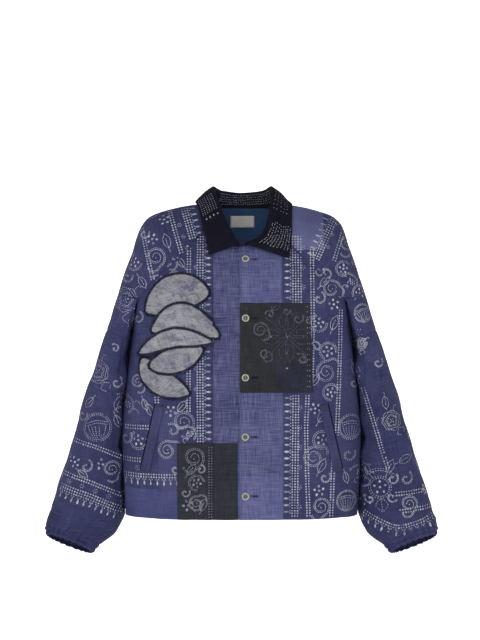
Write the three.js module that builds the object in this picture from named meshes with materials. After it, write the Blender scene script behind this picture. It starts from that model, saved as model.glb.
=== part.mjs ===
// Patched raglan jacket in its worn shape, with nobody inside. Millimetres, +Z up.
// X runs across the shoulders (+X is the wearer's left), -Y is the front, and the
// origin is the middle of the shoulder line, where a wearer's shoulders carry it.
import * as THREE from 'three';

// ---- driving dimensions ----
const CLOTH = 1.6; // wall of the main cloth
const PATCH = 1.0; // wall of what is sewn on top
const GAP = 0.3; // between neighbouring pieces at a seam
const LIFT = 0.5; // clear height of a patch over the panel it lies on
const BUTTON = { radius: 7.5, height: 3, z: -115, pitch: 122, x: 8, count: 5 };
const HEM = -652;
const ARMPIT = -206; // level row just under both armholes
const OVERLAP_EDGE = 4; // left front's edge passes the middle by this
const UNDERLAP_EDGE = 18; // right front runs on under it by this
const NECK_X = 70; // front neckline ends and the raglan seam starts
const NECK_X_BACK = 48;
const ARMHOLE_X = 214; // raglan seam ends and the underarm starts
const SPLIT = { left: 85, right: 59 }; // seam between centre strip and side panel
const CHEST_PATCH = { to: 141, top: ARMPIT, bottom: -390 };
const LOW_PATCH = { from: 8, middle: 59, to: 127, top: -494 };

// Body measures: height, half width, front depth, back depth, squareness of the ring.
const BODY = [
  [HEM, 246, 132, 126, 2.5],
  [-560, 251, 136, 128, 2.5],
  [-470, 253, 138, 128, 2.5],
  [-390, 246, 137, 126, 2.6],
  [-300, 235, 133, 124, 3.0],
  [ARMPIT, 222, 127, 121, 4.2],
  [-150, 216, 117, 121, 3.8],
  [-106, 205, 102, 117, 3.3],
  [-60, 182, 74, 107, 2.8],
  [-41, 163, 60, 101, 2.6],
  [-14, 130, 44, 88, 2.6],
  [4, 110, 30, 76, 2.6],
];

// Upper edge of the front and of the back, as heights over x.
const NECK_FRONT = [[0, -89], [40, -67], [NECK_X, -41]];
const RAGLAN_FRONT = [[NECK_X, -41], [84, -58], [122, -106], [179, -157], [ARMHOLE_X, -198], [222, -203]];
const NECK_BACK = [[0, 4], [NECK_X_BACK, 4]];
const RAGLAN_BACK = [[NECK_X_BACK, 4], [74, -14], [104, -44], [146, -96], [180, -146], [ARMHOLE_X, -198],
  [222, -203]];

// Sleeve head, armpit to neck: share, seam x in front, seam x behind, ridge x, y, z.
const HEAD = [
  [0, ARMHOLE_X, ARMHOLE_X, 262, 4, -186],
  [0.15, 192, 195, 246, 5, -136],
  [0.3, 172, 176, 231, 6, -92],
  [0.43, 155, 158, 222, 6, -62],
  [0.54, CHEST_PATCH.to, 142, 212, 7, -38],
  [0.65, LOW_PATCH.to, 126, 192, 7, -20],
  [0.8, 105, 100, 150, 7, -6],
  [0.92, SPLIT.left, 68, 107, 7, 4],
  [1, NECK_X, NECK_X_BACK, 76, 6, 8],
];

// Sleeve tube, armpit to cuff seam: share, outer x, z, inner x, z, middle y, half depth, tilt.
const TUBE = [
  [0.0, 262, -186, 222, -206, 2, 84, 0],
  [0.14, 287, -262, 226, -282, 16, 92, 0],
  [0.3, 316, -350, 232, -372, 30, 93, 0],
  [0.48, 346, -447, 238, -478, 38, 88, 2],
  [0.64, 374, -537, 242, -575, 34, 84, 4],
  [0.78, 395, -606, 247, -642, 22, 80, 8],
  [0.9, 409, -654, 268, -690, 4, 70, 11],
  [1.0, 413, -679, 302, -715, -8, 58, 13],
  [1.08, 412, -698, 319, -733, -14, 49, 14],
];
const SLEEVE_SEAM = 0.14; // cross seam between the sleeve's upper and lower part
const CUFF_SHARE = 1.08;
const SLEEVE_CLEAR = 5; // between the sleeve and the side of the body
const HEAD_BLEND = 0.16; // share of the tube that still follows the armhole's form

// Soft folds of the body: x0, z0, x1, z1, half width, height, on both halves.
const FRONT_FOLDS = [
  [205, -215, 150, -400, 24, 4],
  [226, -300, 205, -600, 22, 5],
  [120, -470, 128, HEM, 30, 3],
];
const BACK_FOLDS = [
  [190, -190, 120, -420, 28, 5],
  [60, -360, 66, HEM, 30, 4],
  [190, -400, 180, HEM, 26, 6],
];

// Collar, from the right front round the back to the left front: share, fold x, y, z, leaf edge x, y, z.
const COLLAR = [
  [-1, -3, -98, -84, -68, -106, -106],
  [-0.85, -24, -84, -50, -75, -90, -72],
  [-0.7, -44, -50, 0, -86, -62, -24],
  [-0.5, -60, 8, 43, -98, 6, 13],
  [-0.25, -42, 68, 40, -66, 88, -10],
  [0, 0, 82, 36, 0, 102, -20],
  [0.25, 46, 68, 40, 68, 88, -10],
  [0.5, 65, 8, 43, 103, 6, 10],
  [0.7, 61, -50, 0, 106, -56, -26],
  [0.85, 42, -88, -60, 104, -92, -74],
  [1, 5, -101, -82, 98, -112, -113],
];

// ---- curves and surfaces ----

// Smooth curve through the rows of a table whose first column rises.
function along(rows, where) {
  const last = rows.length - 1;
  const t = Math.min(Math.max(where, rows[0][0]), rows[last][0]);
  let i = 0;
  while (i < last - 1 && rows[i + 1][0] < t) i += 1;
  const a = rows[Math.max(i - 1, 0)];
  const b = rows[i];
  const c = rows[i + 1];
  const d = rows[Math.min(i + 2, last)];
  const span = c[0] - b[0];
  const s = (t - b[0]) / span;
  return b.slice(1).map((_, k) => {
    const start = ((c[k + 1] - a[k + 1]) / (c[0] - a[0])) * span;
    const end = ((d[k + 1] - b[k + 1]) / (d[0] - b[0])) * span;
    const rise = s * s * (3 - 2 * s);
    return b[k + 1] + (c[k + 1] - b[k + 1]) * rise + start * s * (1 - s) ** 2 - end * s * s * (1 - s);
  });
}

const mix = (a, b, s) => a + (b - a) * s;
const spread = (from, to, steps) => Array.from({ length: steps + 1 }, (_, i) => mix(from, to, i / steps));
const smooth = (s) => s * s * (3 - 2 * s);

// Height of the soft folds at a place of the body.
function drape(x, z, folds) {
  let height = 0;
  for (const [x0, z0, x1, z1, width, rise] of folds) {
    const length = Math.hypot(x1 - x0, z1 - z0);
    const ahead = ((Math.abs(x) - x0) * (x1 - x0) + (z - z0) * (z1 - z0)) / length;
    const beside = ((Math.abs(x) - x0) * (z1 - z0) - (z - z0) * (x1 - x0)) / length;
    const reach = Math.min(Math.max(ahead, 0), length);
    const away = Math.hypot(ahead - reach, beside) / width;
    height += rise * Math.exp(-away * away);
  }
  return height;
}

// Depth of the body's ring at x and z, before and behind.
function bodyDepth(x, z, behind) {
  const [half, front, back, square] = along(BODY, z);
  const round = Math.max(1 - Math.abs(x / half) ** square, 0) ** (1 / square);
  const fold = drape(x, z, behind ? BACK_FOLDS : FRONT_FOLDS) * Math.min(round * 2, 1);
  return behind ? back * round + fold : -front * round - fold;
}

const halfWidth = (z) => along(BODY, z)[0];

function topEdge(x, behind) {
  const neck = behind ? NECK_BACK : NECK_FRONT;
  const raglan = behind ? RAGLAN_BACK : RAGLAN_FRONT;
  const corner = behind ? NECK_X_BACK : NECK_X;
  return along(x <= corner ? neck : raglan, x)[0];
}

const bodyPoint = (x, z, behind) => new THREE.Vector3(x, bodyDepth(x, z, behind), z);

// The over arc of the sleeve head: turn 0 is the front seam, 0.5 the ridge, 1 the back seam.
function headPoint(side, share, turn) {
  const [frontX, backX, ridgeX, ridgeY, ridgeZ] = along(HEAD, share);
  const behind = turn > 0.5;
  const seamX = behind ? backX : frontX;
  const seam = bodyPoint(seamX, topEdge(seamX, behind), behind);
  const angle = Math.PI * Math.min(turn, 1 - turn);
  const rise = Math.sin(angle) ** 0.9;
  const run = 1 - Math.cos(angle) ** 0.9;
  return new THREE.Vector3(
    side * mix(seam.x, ridgeX, rise),
    mix(seam.y, ridgeY, run),
    mix(seam.z, ridgeZ, rise),
  );
}

// The underarm: turn 1 is the back end, 2 (or 0) the front end of the armhole's lower edge.
function underarmPoint(side, turn) {
  const share = turn - 1;
  const behind = share < 0.5;
  const way = Math.abs(share - 0.5) * 2;
  const x = mix(halfWidth(-203), ARMHOLE_X, smooth(way));
  const point = bodyPoint(Math.min(x, halfWidth(-203)), topEdge(x, behind), behind);
  const clear = 1.5 * Math.min((1 - way) * 4, 1);
  return new THREE.Vector3(side * (point.x + clear), point.y, point.z);
}

// A point of the closed sleeve tube, kept clear of the side of the body.
function tubePoint(side, share, turn) {
  const [outX, outZ, inX, inZ, midY, depth, tilt] = along(TUBE, share);
  const angle = Math.PI * turn;
  const across = Math.sign(Math.sin(angle)) * Math.abs(Math.sin(angle)) ** 0.9;
  const deep = Math.sign(Math.cos(angle)) * Math.abs(Math.cos(angle)) ** 0.9;
  const blend = smooth(Math.max(1 - share / HEAD_BLEND, 0));
  const [topX, topZ] = along(TUBE, 0);
  const head = turn <= 1 ? headPoint(side, 0, turn) : underarmPoint(side, turn);
  const x = mix((outX + inX) / 2 + ((outX - inX) / 2) * across, Math.abs(head.x) + outX - topX, blend);
  const y = mix(midY - depth * deep, head.y, blend);
  const z = mix((outZ + inZ) / 2 + ((outZ - inZ) / 2) * across + tilt * deep, head.z + outZ - topZ, blend);
  const [half, front, back, square] = along(BODY, z);
  const room = Math.max(1 - Math.abs(y / (y < 0 ? front + 8 : back + 8)) ** square, 0) ** (1 / square);
  const body = z > HEM - 12 && room > 0 ? half * room + SLEEVE_CLEAR : 0;
  const kept = share > 0 ? Math.max(x, body) : x;
  return new THREE.Vector3(side * kept, y, z);
}

function neckPoint(share) {
  const side = Math.sign(share) || 1;
  const reach = Math.abs(share);
  if (reach >= 0.7) {
    const x = mix(NECK_X, OVERLAP_EDGE, (reach - 0.7) / 0.3);
    const point = bodyPoint(x, topEdge(x, false), false);
    return point.setX(side * point.x);
  }
  if (reach >= 0.28) return headPoint(side, 1, (0.7 - reach) / 0.42);
  const x = (NECK_X_BACK * reach) / 0.28;
  const point = bodyPoint(x, topEdge(x, true), true);
  return point.setX(side * point.x);
}

// ---- sheets of cloth ----

// A point's key; the offset keeps round numbers away from where rounding turns.
const place = (p) => p.toArray().map((v) => Math.round(v * 50 + 0.137)).join(' ');

// Joins grids of points (rows of columns) into one sheet; a closed grid is a tube.
function sheet(grids, flip = false) {
  const points = [];
  const seen = new Map();
  const quads = [];
  const indexOf = (p) => {
    const key = place(p);
    if (!seen.has(key)) {
      seen.set(key, points.length);
      points.push(p);
    }
    return seen.get(key);
  };
  for (const { rows, closed } of grids) {
    for (let r = 0; r + 1 < rows.length; r += 1) {
      const wide = rows[r].length;
      for (let c = 0; c < (closed ? wide : wide - 1); c += 1) {
        const next = (c + 1) % wide;
        const quad = [rows[r][c], rows[r][next], rows[r + 1][next], rows[r + 1][c]].map(indexOf);
        quads.push(flip ? quad.reverse() : quad);
      }
    }
  }
  return { points, quads };
}

function quadNormal({ points }, [a, b, c, d]) {
  const one = points[c].clone().sub(points[a]);
  const two = points[d].clone().sub(points[b]);
  return one.cross(two);
}

// Adds each sheet's normals up by place, so that neighbours share them along their seams.
function normalsOf(sheets) {
  const sums = new Map();
  for (const piece of sheets) {
    for (const quad of piece.quads) {
      const normal = quadNormal(piece, quad);
      for (const i of quad) {
        const key = place(piece.points[i]);
        sums.set(key, (sums.get(key) ?? new THREE.Vector3()).add(normal));
      }
    }
  }
  return (piece) => piece.points.map((p) => sums.get(place(p)).clone().normalize());
}

function rimOf({ quads }) {
  const edges = new Map();
  for (const quad of quads) {
    quad.forEach((a, i) => {
      const b = quad[(i + 1) % 4];
      const back = `${b} ${a}`;
      if (edges.has(back)) edges.delete(back);
      else edges.set(`${a} ${b}`, [a, b]);
    });
  }
  return [...edges.values()];
}

// A closed wall: the sheet moved to both distances along its normals, with its rim drawn in.
function wall(piece, normals, outer, inner, drawn) {
  const rim = rimOf(piece);
  const inward = new Map();
  for (const [a, b] of rim) {
    const edge = piece.points[b].clone().sub(piece.points[a]).normalize();
    for (const i of [a, b]) {
      const side = normals[i].clone().cross(edge).normalize();
      inward.set(i, [...(inward.get(i) ?? []), side]);
    }
  }
  const shift = (i) => {
    const sides = inward.get(i);
    if (!sides) return new THREE.Vector3();
    const [one, two] = sides;
    return one.clone().add(two).multiplyScalar(drawn / Math.max(1 + one.dot(two), 0.4));
  };
  const layer = (depth) => piece.points.flatMap((p, i) =>
    p.clone().addScaledVector(normals[i], depth).add(shift(i)).toArray());
  const count = piece.points.length;
  const faces = [];
  for (const [a, b, c, d] of piece.quads) {
    faces.push(a, b, c, a, c, d);
    faces.push(count + a, count + c, count + b, count + a, count + d, count + c);
  }
  for (const [a, b] of rim) {
    // The same diagonal on both sides of a seam keeps neighbours apart where the rim twists.
    if (place(piece.points[a]) < place(piece.points[b])) faces.push(b, a, count + a, b, count + a, count + b);
    else faces.push(b, a, count + b, a, count + a, count + b);
  }
  const geometry = new THREE.BufferGeometry();
  const positions = [...layer(outer), ...layer(inner)];
  geometry.setAttribute('position', new THREE.Float32BufferAttribute(positions, 3));
  geometry.setIndex(faces);
  geometry.computeVertexNormals();
  return geometry;
}

const jacket = new THREE.Group();

function add(name, geometry, color, roughness = 0.9, metalness = 0) {
  const material = new THREE.MeshStandardMaterial({ color, roughness, metalness });
  const mesh = new THREE.Mesh(geometry, material);
  mesh.name = name;
  jacket.add(mesh);
  return mesh;
}

const INDIGO = 0x3f4273;
const SLUB = 0x55588a;
const NAVY = 0x23264f;
const CHARCOAL = 0x2c2d37;
const COLLAR_NAVY = 0x141329;
const FACING_BLUE = 0x1f3350;
const LINEN = 0x9a9ca3;
const CREAM = 0xe0d8d0;

// ---- body panels ----

const LEVELS = [HEM, -605, -550, LOW_PATCH.top, -442, CHEST_PATCH.bottom, -330, -268, ARMPIT];
const UPPER_ROWS = 5;

// Grid of one body panel: its columns keep their x above the armpit and widen below it.
function bodyGrid(columns, side, behind, sink = () => 0) {
  const base = halfWidth(ARMPIT);
  const column = (x) => {
    const top = topEdge(Math.max(x, 0), behind);
    const heights = [...LEVELS, ...spread(ARMPIT, top, UPPER_ROWS).slice(1)];
    return heights.map((z) => {
      const below = z < ARMPIT ? (halfWidth(z) - base) * (Math.max(x, 0) / base) ** 3 : 0;
      const across = Math.min(x + below, halfWidth(z));
      const point = bodyPoint(across, z, behind);
      point.y += sink(x);
      return point.setX(side * point.x);
    });
  };
  const built = columns.map(column);
  return built[0].map((_, r) => built.map((points) => points[r]));
}

// Columns meet the sleeve's rows along the raglan seams.
const UNDERARM = [219, halfWidth(ARMPIT)];
const RAGLAN_X = HEAD.map(([, frontX]) => frontX).reverse();
const LEFT_CENTRE = [-OVERLAP_EDGE, 20, 44, NECK_X, SPLIT.left];
const LEFT_SIDE = [...RAGLAN_X.slice(1), ...UNDERARM];
const RIGHT_CENTRE = [-UNDERLAP_EDGE, -2, LOW_PATCH.from, 32, SPLIT.right];
const RIGHT_SIDE = [SPLIT.right, ...RAGLAN_X, ...UNDERARM];
const BACK_HALF = [0, 24, ...HEAD.map(([, , backX]) => backX).reverse(), ...UNDERARM];

// The right front passes behind the left one by the thickness of its wall and a gap.
const underlap = (x) => 3 * smooth(Math.min(Math.max((30 - x) / 24, 0), 1));

const grids = {
  front_left_centre: bodyGrid(LEFT_CENTRE, 1, false),
  front_left_side: bodyGrid(LEFT_SIDE, 1, false),
  front_right_centre: bodyGrid(RIGHT_CENTRE, -1, false, underlap),
  front_right_side: bodyGrid(RIGHT_SIDE, -1, false),
};
const backRight = bodyGrid([...BACK_HALF].reverse(), -1, true);
const backLeft = bodyGrid(BACK_HALF, 1, true);
grids.back = backRight.map((row, r) => [...row, ...backLeft[r].slice(1)]);

// ---- sleeves ----

const OVER = spread(0, 1, 12);
const UNDER = spread(1, 2, 6).slice(1, -1);
const TUBE_ROWS = [0, 0.07, SLEEVE_SEAM, 0.22, 0.3, 0.4, 0.5, 0.6, 0.7, 0.78, 0.85, 0.91, 0.96, 1];

function tubeGrid(side, shares) {
  const turns = [...OVER, ...UNDER];
  const rows = shares.map((share) => turns.map((turn) => tubePoint(side, share, turn)));
  return { rows, closed: true };
}

function upperSleeve(side) {
  const head = HEAD.map(([share]) => OVER.map((turn) => headPoint(side, share, turn))).reverse();
  const tube = tubeGrid(side, TUBE_ROWS.filter((share) => share <= SLEEVE_SEAM));
  return sheet([{ rows: head }, tube], side > 0);
}

function lowerSleeve(side) {
  return sheet([tubeGrid(side, TUBE_ROWS.filter((share) => share >= SLEEVE_SEAM))], side > 0);
}

const cuffSheet = (side) => sheet([tubeGrid(side, spread(1, CUFF_SHARE, 2))], side > 0);

const shell = {
  front_left_centre: { ...sheet([{ rows: grids.front_left_centre }]), color: SLUB },
  front_left_side: { ...sheet([{ rows: grids.front_left_side }]), color: INDIGO },
  front_right_centre: { ...sheet([{ rows: grids.front_right_centre }], true), color: SLUB },
  front_right_side: { ...sheet([{ rows: grids.front_right_side }], true), color: INDIGO },
  back: { ...sheet([{ rows: grids.back }], true), color: INDIGO },
  sleeve_left_upper: { ...upperSleeve(1), color: INDIGO },
  sleeve_left_lower: { ...lowerSleeve(1), color: INDIGO },
  sleeve_right_upper: { ...upperSleeve(-1), color: INDIGO },
  sleeve_right_lower: { ...lowerSleeve(-1), color: INDIGO },
  cuff_left: { ...cuffSheet(1), color: NAVY },
  cuff_right: { ...cuffSheet(-1), color: NAVY },
};
const shellNormals = normalsOf(Object.values(shell));
for (const [name, piece] of Object.entries(shell)) {
  add(name, wall(piece, shellNormals(piece), 0, -CLOTH, GAP / 2), piece.color);
}

// ---- what lies on a panel ----

// A panel's point and outward normal at any column x and height z, from the body's surface.
function onBody(x, z, behind) {
  const at = (dx, dz) => bodyPoint(Math.abs(x) + dx, z + dz, behind);
  const here = at(0, 0);
  const normal = at(1, 0).sub(at(-1, 0)).cross(at(0, 1).sub(at(0, -1))).normalize();
  if (behind) normal.negate();
  if (x < 0) {
    here.x *= -1;
    normal.x *= -1;
  }
  return { here, normal };
}

// Copies part of a grid as a patch laid on it.
function addPatch(name, rows, flip, color) {
  const piece = sheet([{ rows }], flip);
  add(name, wall(piece, normalsOf([piece])(piece), LIFT + PATCH, LIFT, 0.1), color);
}

const rowAt = (z) => LEVELS.indexOf(z);
const part = (rows, from, to, low, high) => rows.slice(low, high + 1).map((row) => row.slice(from, to + 1));

const leftFront = grids.front_left_centre.map((row, r) => [...row, ...grids.front_left_side[r].slice(1)]);
const chestColumns = [...LEFT_CENTRE, ...LEFT_SIDE.slice(1)].indexOf(CHEST_PATCH.to);
addPatch('chest_patch', part(leftFront, 0, chestColumns, rowAt(CHEST_PATCH.bottom), rowAt(CHEST_PATCH.top)),
  false, CHARCOAL);
addPatch('hem_patch_plain', part(grids.front_right_centre, 2, 4, 0, rowAt(LOW_PATCH.top)), true, CHARCOAL);
const lowColumn = RIGHT_SIDE.indexOf(LOW_PATCH.to);
addPatch('hem_patch_printed', part(grids.front_right_side, 0, lowColumn, 0, rowAt(LOW_PATCH.top)), true, CHARCOAL);

// A strip or leaf that follows a line on the body: its middle line, and half width along it.
function blade(line, width, steps, across, behind = false) {
  return spread(0, 1, steps).map((s) => {
    const [x, z] = along(line, s);
    const [x1, z1] = along(line, Math.min(s + 0.01, 1));
    const [x0, z0] = along(line, Math.max(s - 0.01, 0));
    const length = Math.hypot(x1 - x0, z1 - z0);
    return spread(-1, 1, across).map((c) => {
      const reach = c * width(s);
      return onBody(x - (reach * (z1 - z0)) / length, z + (reach * (x1 - x0)) / length, behind);
    });
  });
}

function addBlade(name, strip, low, high, color, flip) {
  const rows = strip.map((row) => row.map(({ here }) => here));
  const piece = sheet([{ rows }], flip);
  const normals = strip.flat().map(({ normal }) => normal);
  add(name, wall(piece, normals, high, low, 0), color);
}

// Pocket welts: slanted strips, open on their outer side.
const WELT = { half: 9, top: [168, -416], bottom: [199, -552] };
for (const [name, side] of [['pocket_welt_left', 1], ['pocket_welt_right', -1]]) {
  const line = [[0, side * WELT.top[0], WELT.top[1]], [1, side * WELT.bottom[0], WELT.bottom[1]]];
  addBlade(name, blade(line, () => WELT.half, 8, 2), LIFT + 0.4, LIFT + 0.4 + CLOTH, SLUB, true);
}

// Applique: broad linen leaves, laid over each other in layers.
const leafWidth = (wide, tip = 0.12) => (s) => wide * Math.max(Math.sin(Math.PI * s) ** 0.6, tip);
const LEAVES = [
  { line: [[0, -198, -226], [0.5, -134, -186], [1, -64, -184]], wide: 42, layer: 0 },
  { line: [[0, -186, -264], [0.5, -122, -236], [1, -44, -276]], wide: 32, layer: 1 },
  { line: [[0, -214, -312], [0.5, -142, -278], [1, -56, -286]], wide: 22, layer: 2 },
  { line: [[0, -208, -318], [0.5, -170, -366], [1, -104, -394]], wide: 30, layer: 0 },
  { line: [[0, -192, -338], [0.5, -132, -322], [1, -76, -298]], wide: 30, layer: 1 },
];
LEAVES.forEach(({ line, wide, layer }, i) => {
  const low = LIFT + 0.5 + layer * (PATCH + 0.6);
  const name = `applique_leaf_${i + 1}`;
  addBlade(name, blade(line, leafWidth(wide), 8, 4), low, low + PATCH, LINEN, true);
});

// ---- neck: facing, label and collar ----

// The facing copies the back's top rows, just inside its wall.
const FACING = { rows: 3, columns: 3, in: CLOTH + GAP };
const middle = (grids.back[0].length - 1) / 2;
const topRow = grids.back.length - 1;
const facingRows = part(grids.back, middle - FACING.columns, middle + FACING.columns, topRow - FACING.rows, topRow);
const facing = sheet([{ rows: facingRows }], true);
add('neck_facing', wall(facing, shellNormals(facing), -FACING.in, -FACING.in - PATCH, 0), FACING_BLUE);

const LABEL = { half: 26, x: 2, top: -12, bottom: -37 };
const labelRows = spread(LABEL.bottom, LABEL.top, 1).map((z) =>
  spread(LABEL.x - LABEL.half, LABEL.x + LABEL.half, 4).map((x) => onBody(x, z, true)));
const labelIn = FACING.in + PATCH + 2;
addBlade('neck_label', labelRows, -labelIn - 0.6, -labelIn, CREAM, true);

// Places on the outside round the neck, with their normals, for the collar to rest on.
const LEAF_CLEAR = CLOTH + 3;
const shoulders = [];
for (const side of [-1, 1]) {
  for (const share of spread(0.45, 1, 16)) {
    for (const turn of spread(0.02, 0.98, 24)) {
      const here = headPoint(side, share, turn);
      const onward = headPoint(side, share, turn + 0.01).sub(here);
      const outward = headPoint(side, share - 0.01, turn).sub(here);
      shoulders.push({ here, normal: onward.cross(outward).multiplyScalar(-side).normalize() });
    }
  }
}
for (const x of spread(-110, 110, 22)) {
  for (const behind of [false, true]) {
    for (const z of spread(-150, topEdge(Math.abs(x), behind) - 1, 10)) shoulders.push(onBody(x, z, behind));
  }
}

function restOn(point) {
  let near = shoulders[0];
  for (const place of shoulders) {
    if (place.here.distanceToSquared(point) < near.here.distanceToSquared(point)) near = place;
  }
  const height = point.clone().sub(near.here).dot(near.normal);
  return point.addScaledVector(near.normal, Math.max(LEAF_CLEAR - height, 0));
}

const COLLAR_COLUMNS = 26;
const FOLD = 3; // half the gap between the collar's two layers at its fold

function collarColumn(share) {
  const step = 0.01;
  const fold = new THREE.Vector3(...along(COLLAR, share).slice(0, 3));
  const edge = new THREE.Vector3(...along(COLLAR, share).slice(3));
  const ahead = new THREE.Vector3(...along(COLLAR, share + step).slice(0, 3));
  const behind = new THREE.Vector3(...along(COLLAR, share - step).slice(0, 3));
  const neck = neckPoint(share);
  const inward = new THREE.Vector3(-neck.x, -neck.y, 0).normalize();
  const foot = neck.clone().addScaledVector(inward, 1).add(new THREE.Vector3(0, 0, 3.5));
  const up = fold.clone().sub(foot.clone().add(edge).multiplyScalar(0.5)).normalize();
  const out = up.clone().cross(ahead.sub(behind)).normalize();
  const inner = fold.clone().addScaledVector(up, -FOLD).addScaledVector(out, -FOLD);
  const outer = fold.clone().addScaledVector(up, -FOLD).addScaledVector(out, FOLD);
  return [
    foot,
    foot.clone().lerp(inner, 0.5).addScaledVector(out, -1),
    inner,
    fold,
    outer,
    restOn(outer.clone().lerp(edge, 0.35).addScaledVector(out, 2)),
    restOn(outer.clone().lerp(edge, 0.7).addScaledVector(out, 1.5)),
    restOn(edge),
  ];
}

const collarColumns = spread(-1, 1, COLLAR_COLUMNS).map(collarColumn);
const collar = sheet([{ rows: collarColumns }], true);
add('collar', wall(collar, normalsOf([collar])(collar), 0, -CLOTH, 0), COLLAR_NAVY);

// ---- buttons ----

const { radius, height } = BUTTON;
const buttonProfile = [
  [0, 0], [radius - 0.5, 0], [radius, height - 0.9], [radius - 1, height], [radius - 2.6, height - 1.2],
  [0, height - 1.2],
].map(([r, h]) => new THREE.Vector2(r, h));

for (let i = 0; i < BUTTON.count; i += 1) {
  const z = BUTTON.z - BUTTON.pitch * i;
  const { here, normal } = onBody(BUTTON.x, z, false);
  const geometry = new THREE.LatheGeometry(buttonProfile, 14);
  const button = add(`button_${i + 1}`, geometry, CREAM, 0.4);
  const onPatch = z < CHEST_PATCH.top && z > CHEST_PATCH.bottom;
  button.position.copy(here).addScaledVector(normal, onPatch ? LIFT + PATCH + 0.5 : 0.6);
  button.quaternion.setFromUnitVectors(new THREE.Vector3(0, 1, 0), normal);
}

export default jacket;
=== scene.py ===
import math

import bmesh
import bpy
import numpy as np
from mathutils import Matrix, Vector
from mathutils.kdtree import KDTree


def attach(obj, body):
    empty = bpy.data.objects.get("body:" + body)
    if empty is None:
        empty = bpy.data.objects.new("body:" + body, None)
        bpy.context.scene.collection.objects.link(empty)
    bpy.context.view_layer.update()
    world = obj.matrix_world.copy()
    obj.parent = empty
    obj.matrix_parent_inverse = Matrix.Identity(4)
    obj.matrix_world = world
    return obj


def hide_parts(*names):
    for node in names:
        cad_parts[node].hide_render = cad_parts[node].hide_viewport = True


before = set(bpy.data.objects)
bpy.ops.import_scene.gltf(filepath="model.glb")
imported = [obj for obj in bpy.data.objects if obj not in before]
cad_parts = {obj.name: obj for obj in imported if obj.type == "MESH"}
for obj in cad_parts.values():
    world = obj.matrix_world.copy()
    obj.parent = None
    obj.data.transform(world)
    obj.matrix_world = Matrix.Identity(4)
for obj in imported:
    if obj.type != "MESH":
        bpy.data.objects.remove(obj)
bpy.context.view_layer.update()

MM = 0.001
CLOTH = 1.6  # wall of the main cloth, mm
PATCH = 1.0  # wall of what is sewn on top
LIFT = 0.5  # clear height of a patch over its panel
CELL = 5.0  # spacing of the cloth's own grid
CREASED = 1.6  # how strongly the creases below are pressed in

# ---- camera and lights ----

SENSOR_WIDE, LENS_LONG = 36, 100.4  # mm
CAMERA_PLACE, LIGHTS_AIM = (-0.0032, -3.8, -0.2407), (0, 0, -0.3)  # metres
LIGHTS = [
    # name, place and diameter in metres, power in watts
    ("key_light", (-1.7, -2.6, 1.5), 1.2, 13),
    ("fill_light", (2.2, -2.7, 0.5), 2.2, 2),
    ("front_light", (0.05, -3.5, 0.2), 0.9, 14),
    ("back_light_left", (-2.0, 1.3, 1.0), 1.2, 5),
    ("back_light_right", (2.0, 1.3, 0.9), 1.2, 5),
]


def add_camera():
    data = bpy.data.cameras.new("camera")
    data.sensor_width, data.lens, data.clip_end = SENSOR_WIDE, LENS_LONG, 60
    camera = bpy.data.objects.new("camera", data)
    camera.location = CAMERA_PLACE
    camera.rotation_euler = (math.pi / 2, 0, 0)
    bpy.context.scene.collection.objects.link(camera)
    bpy.context.scene.camera = camera


def add_light(name, place, size, power):
    data = bpy.data.lights.new(name, "AREA")
    data.shape, data.size, data.energy = "DISK", size, power
    light = bpy.data.objects.new(name, data)
    light.location = place
    light.rotation_euler = (Vector(LIGHTS_AIM) - Vector(place)).to_track_quat("-Z", "Y").to_euler()
    bpy.context.scene.collection.objects.link(light)


add_camera()
for light in LIGHTS:
    add_light(*light)

# ---- curves and surfaces of the part, in millimetres ----

HEM, ARMPIT, SLEEVE_SEAM, CUFF_SHARE = -652, -206, 0.14, 1.08
NECK_X, NECK_X_BACK, ARMHOLE_X = 70, 48, 214
SLEEVE_CLEAR, HEAD_BLEND, SLEEVE_ROUND = 5, 0.16, 0.9
SEAM_LEFT, SEAM_RIGHT, PANEL_END = 85, 59, 222  # where the fronts are pieced, and where a panel ends
CHEST_PATCH_LOW, HEM_PATCH_TOP = -390, -494
CREASE_FADE = 26  # creases fade in over this height below a top edge
HEM_SEWN = 13  # the hem is drawn in at this height
SIDES = ((1, "left"), (-1, "right"))  # the wearer's left is at positive x
HANDS = ("left", "right")
BODY = [
    (HEM, 246, 132, 126, 2.5), (-560, 251, 136, 128, 2.5), (-470, 253, 138, 128, 2.5),
    (-390, 246, 137, 126, 2.6), (-300, 235, 133, 124, 3.0), (ARMPIT, 222, 127, 121, 4.2),
    (-150, 216, 117, 121, 3.8), (-106, 205, 102, 117, 3.3), (-60, 182, 74, 107, 2.8),
    (-41, 163, 60, 101, 2.6), (-14, 130, 44, 88, 2.6), (4, 110, 30, 76, 2.6),
]
NECK_FRONT = [(0, -89), (40, -67), (NECK_X, -41)]
RAGLAN_FRONT = [(NECK_X, -41), (84, -58), (122, -106), (179, -157), (ARMHOLE_X, -198), (222, -203)]
NECK_BACK = [(0, 4), (NECK_X_BACK, 4)]
RAGLAN_BACK = [(NECK_X_BACK, 4), (74, -14), (104, -44), (146, -96), (180, -146), (ARMHOLE_X, -198),
               (222, -203)]
HEAD = [
    (0, 214, 214, 262, 4, -186), (0.15, 192, 195, 246, 5, -136), (0.3, 172, 176, 231, 6, -92),
    (0.43, 155, 158, 222, 6, -62), (0.54, 141, 142, 212, 7, -38), (0.65, 127, 126, 192, 7, -20),
    (0.8, 105, 100, 150, 7, -6), (0.92, 85, 68, 107, 7, 4), (1, 70, 48, 76, 6, 8),
]
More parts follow.
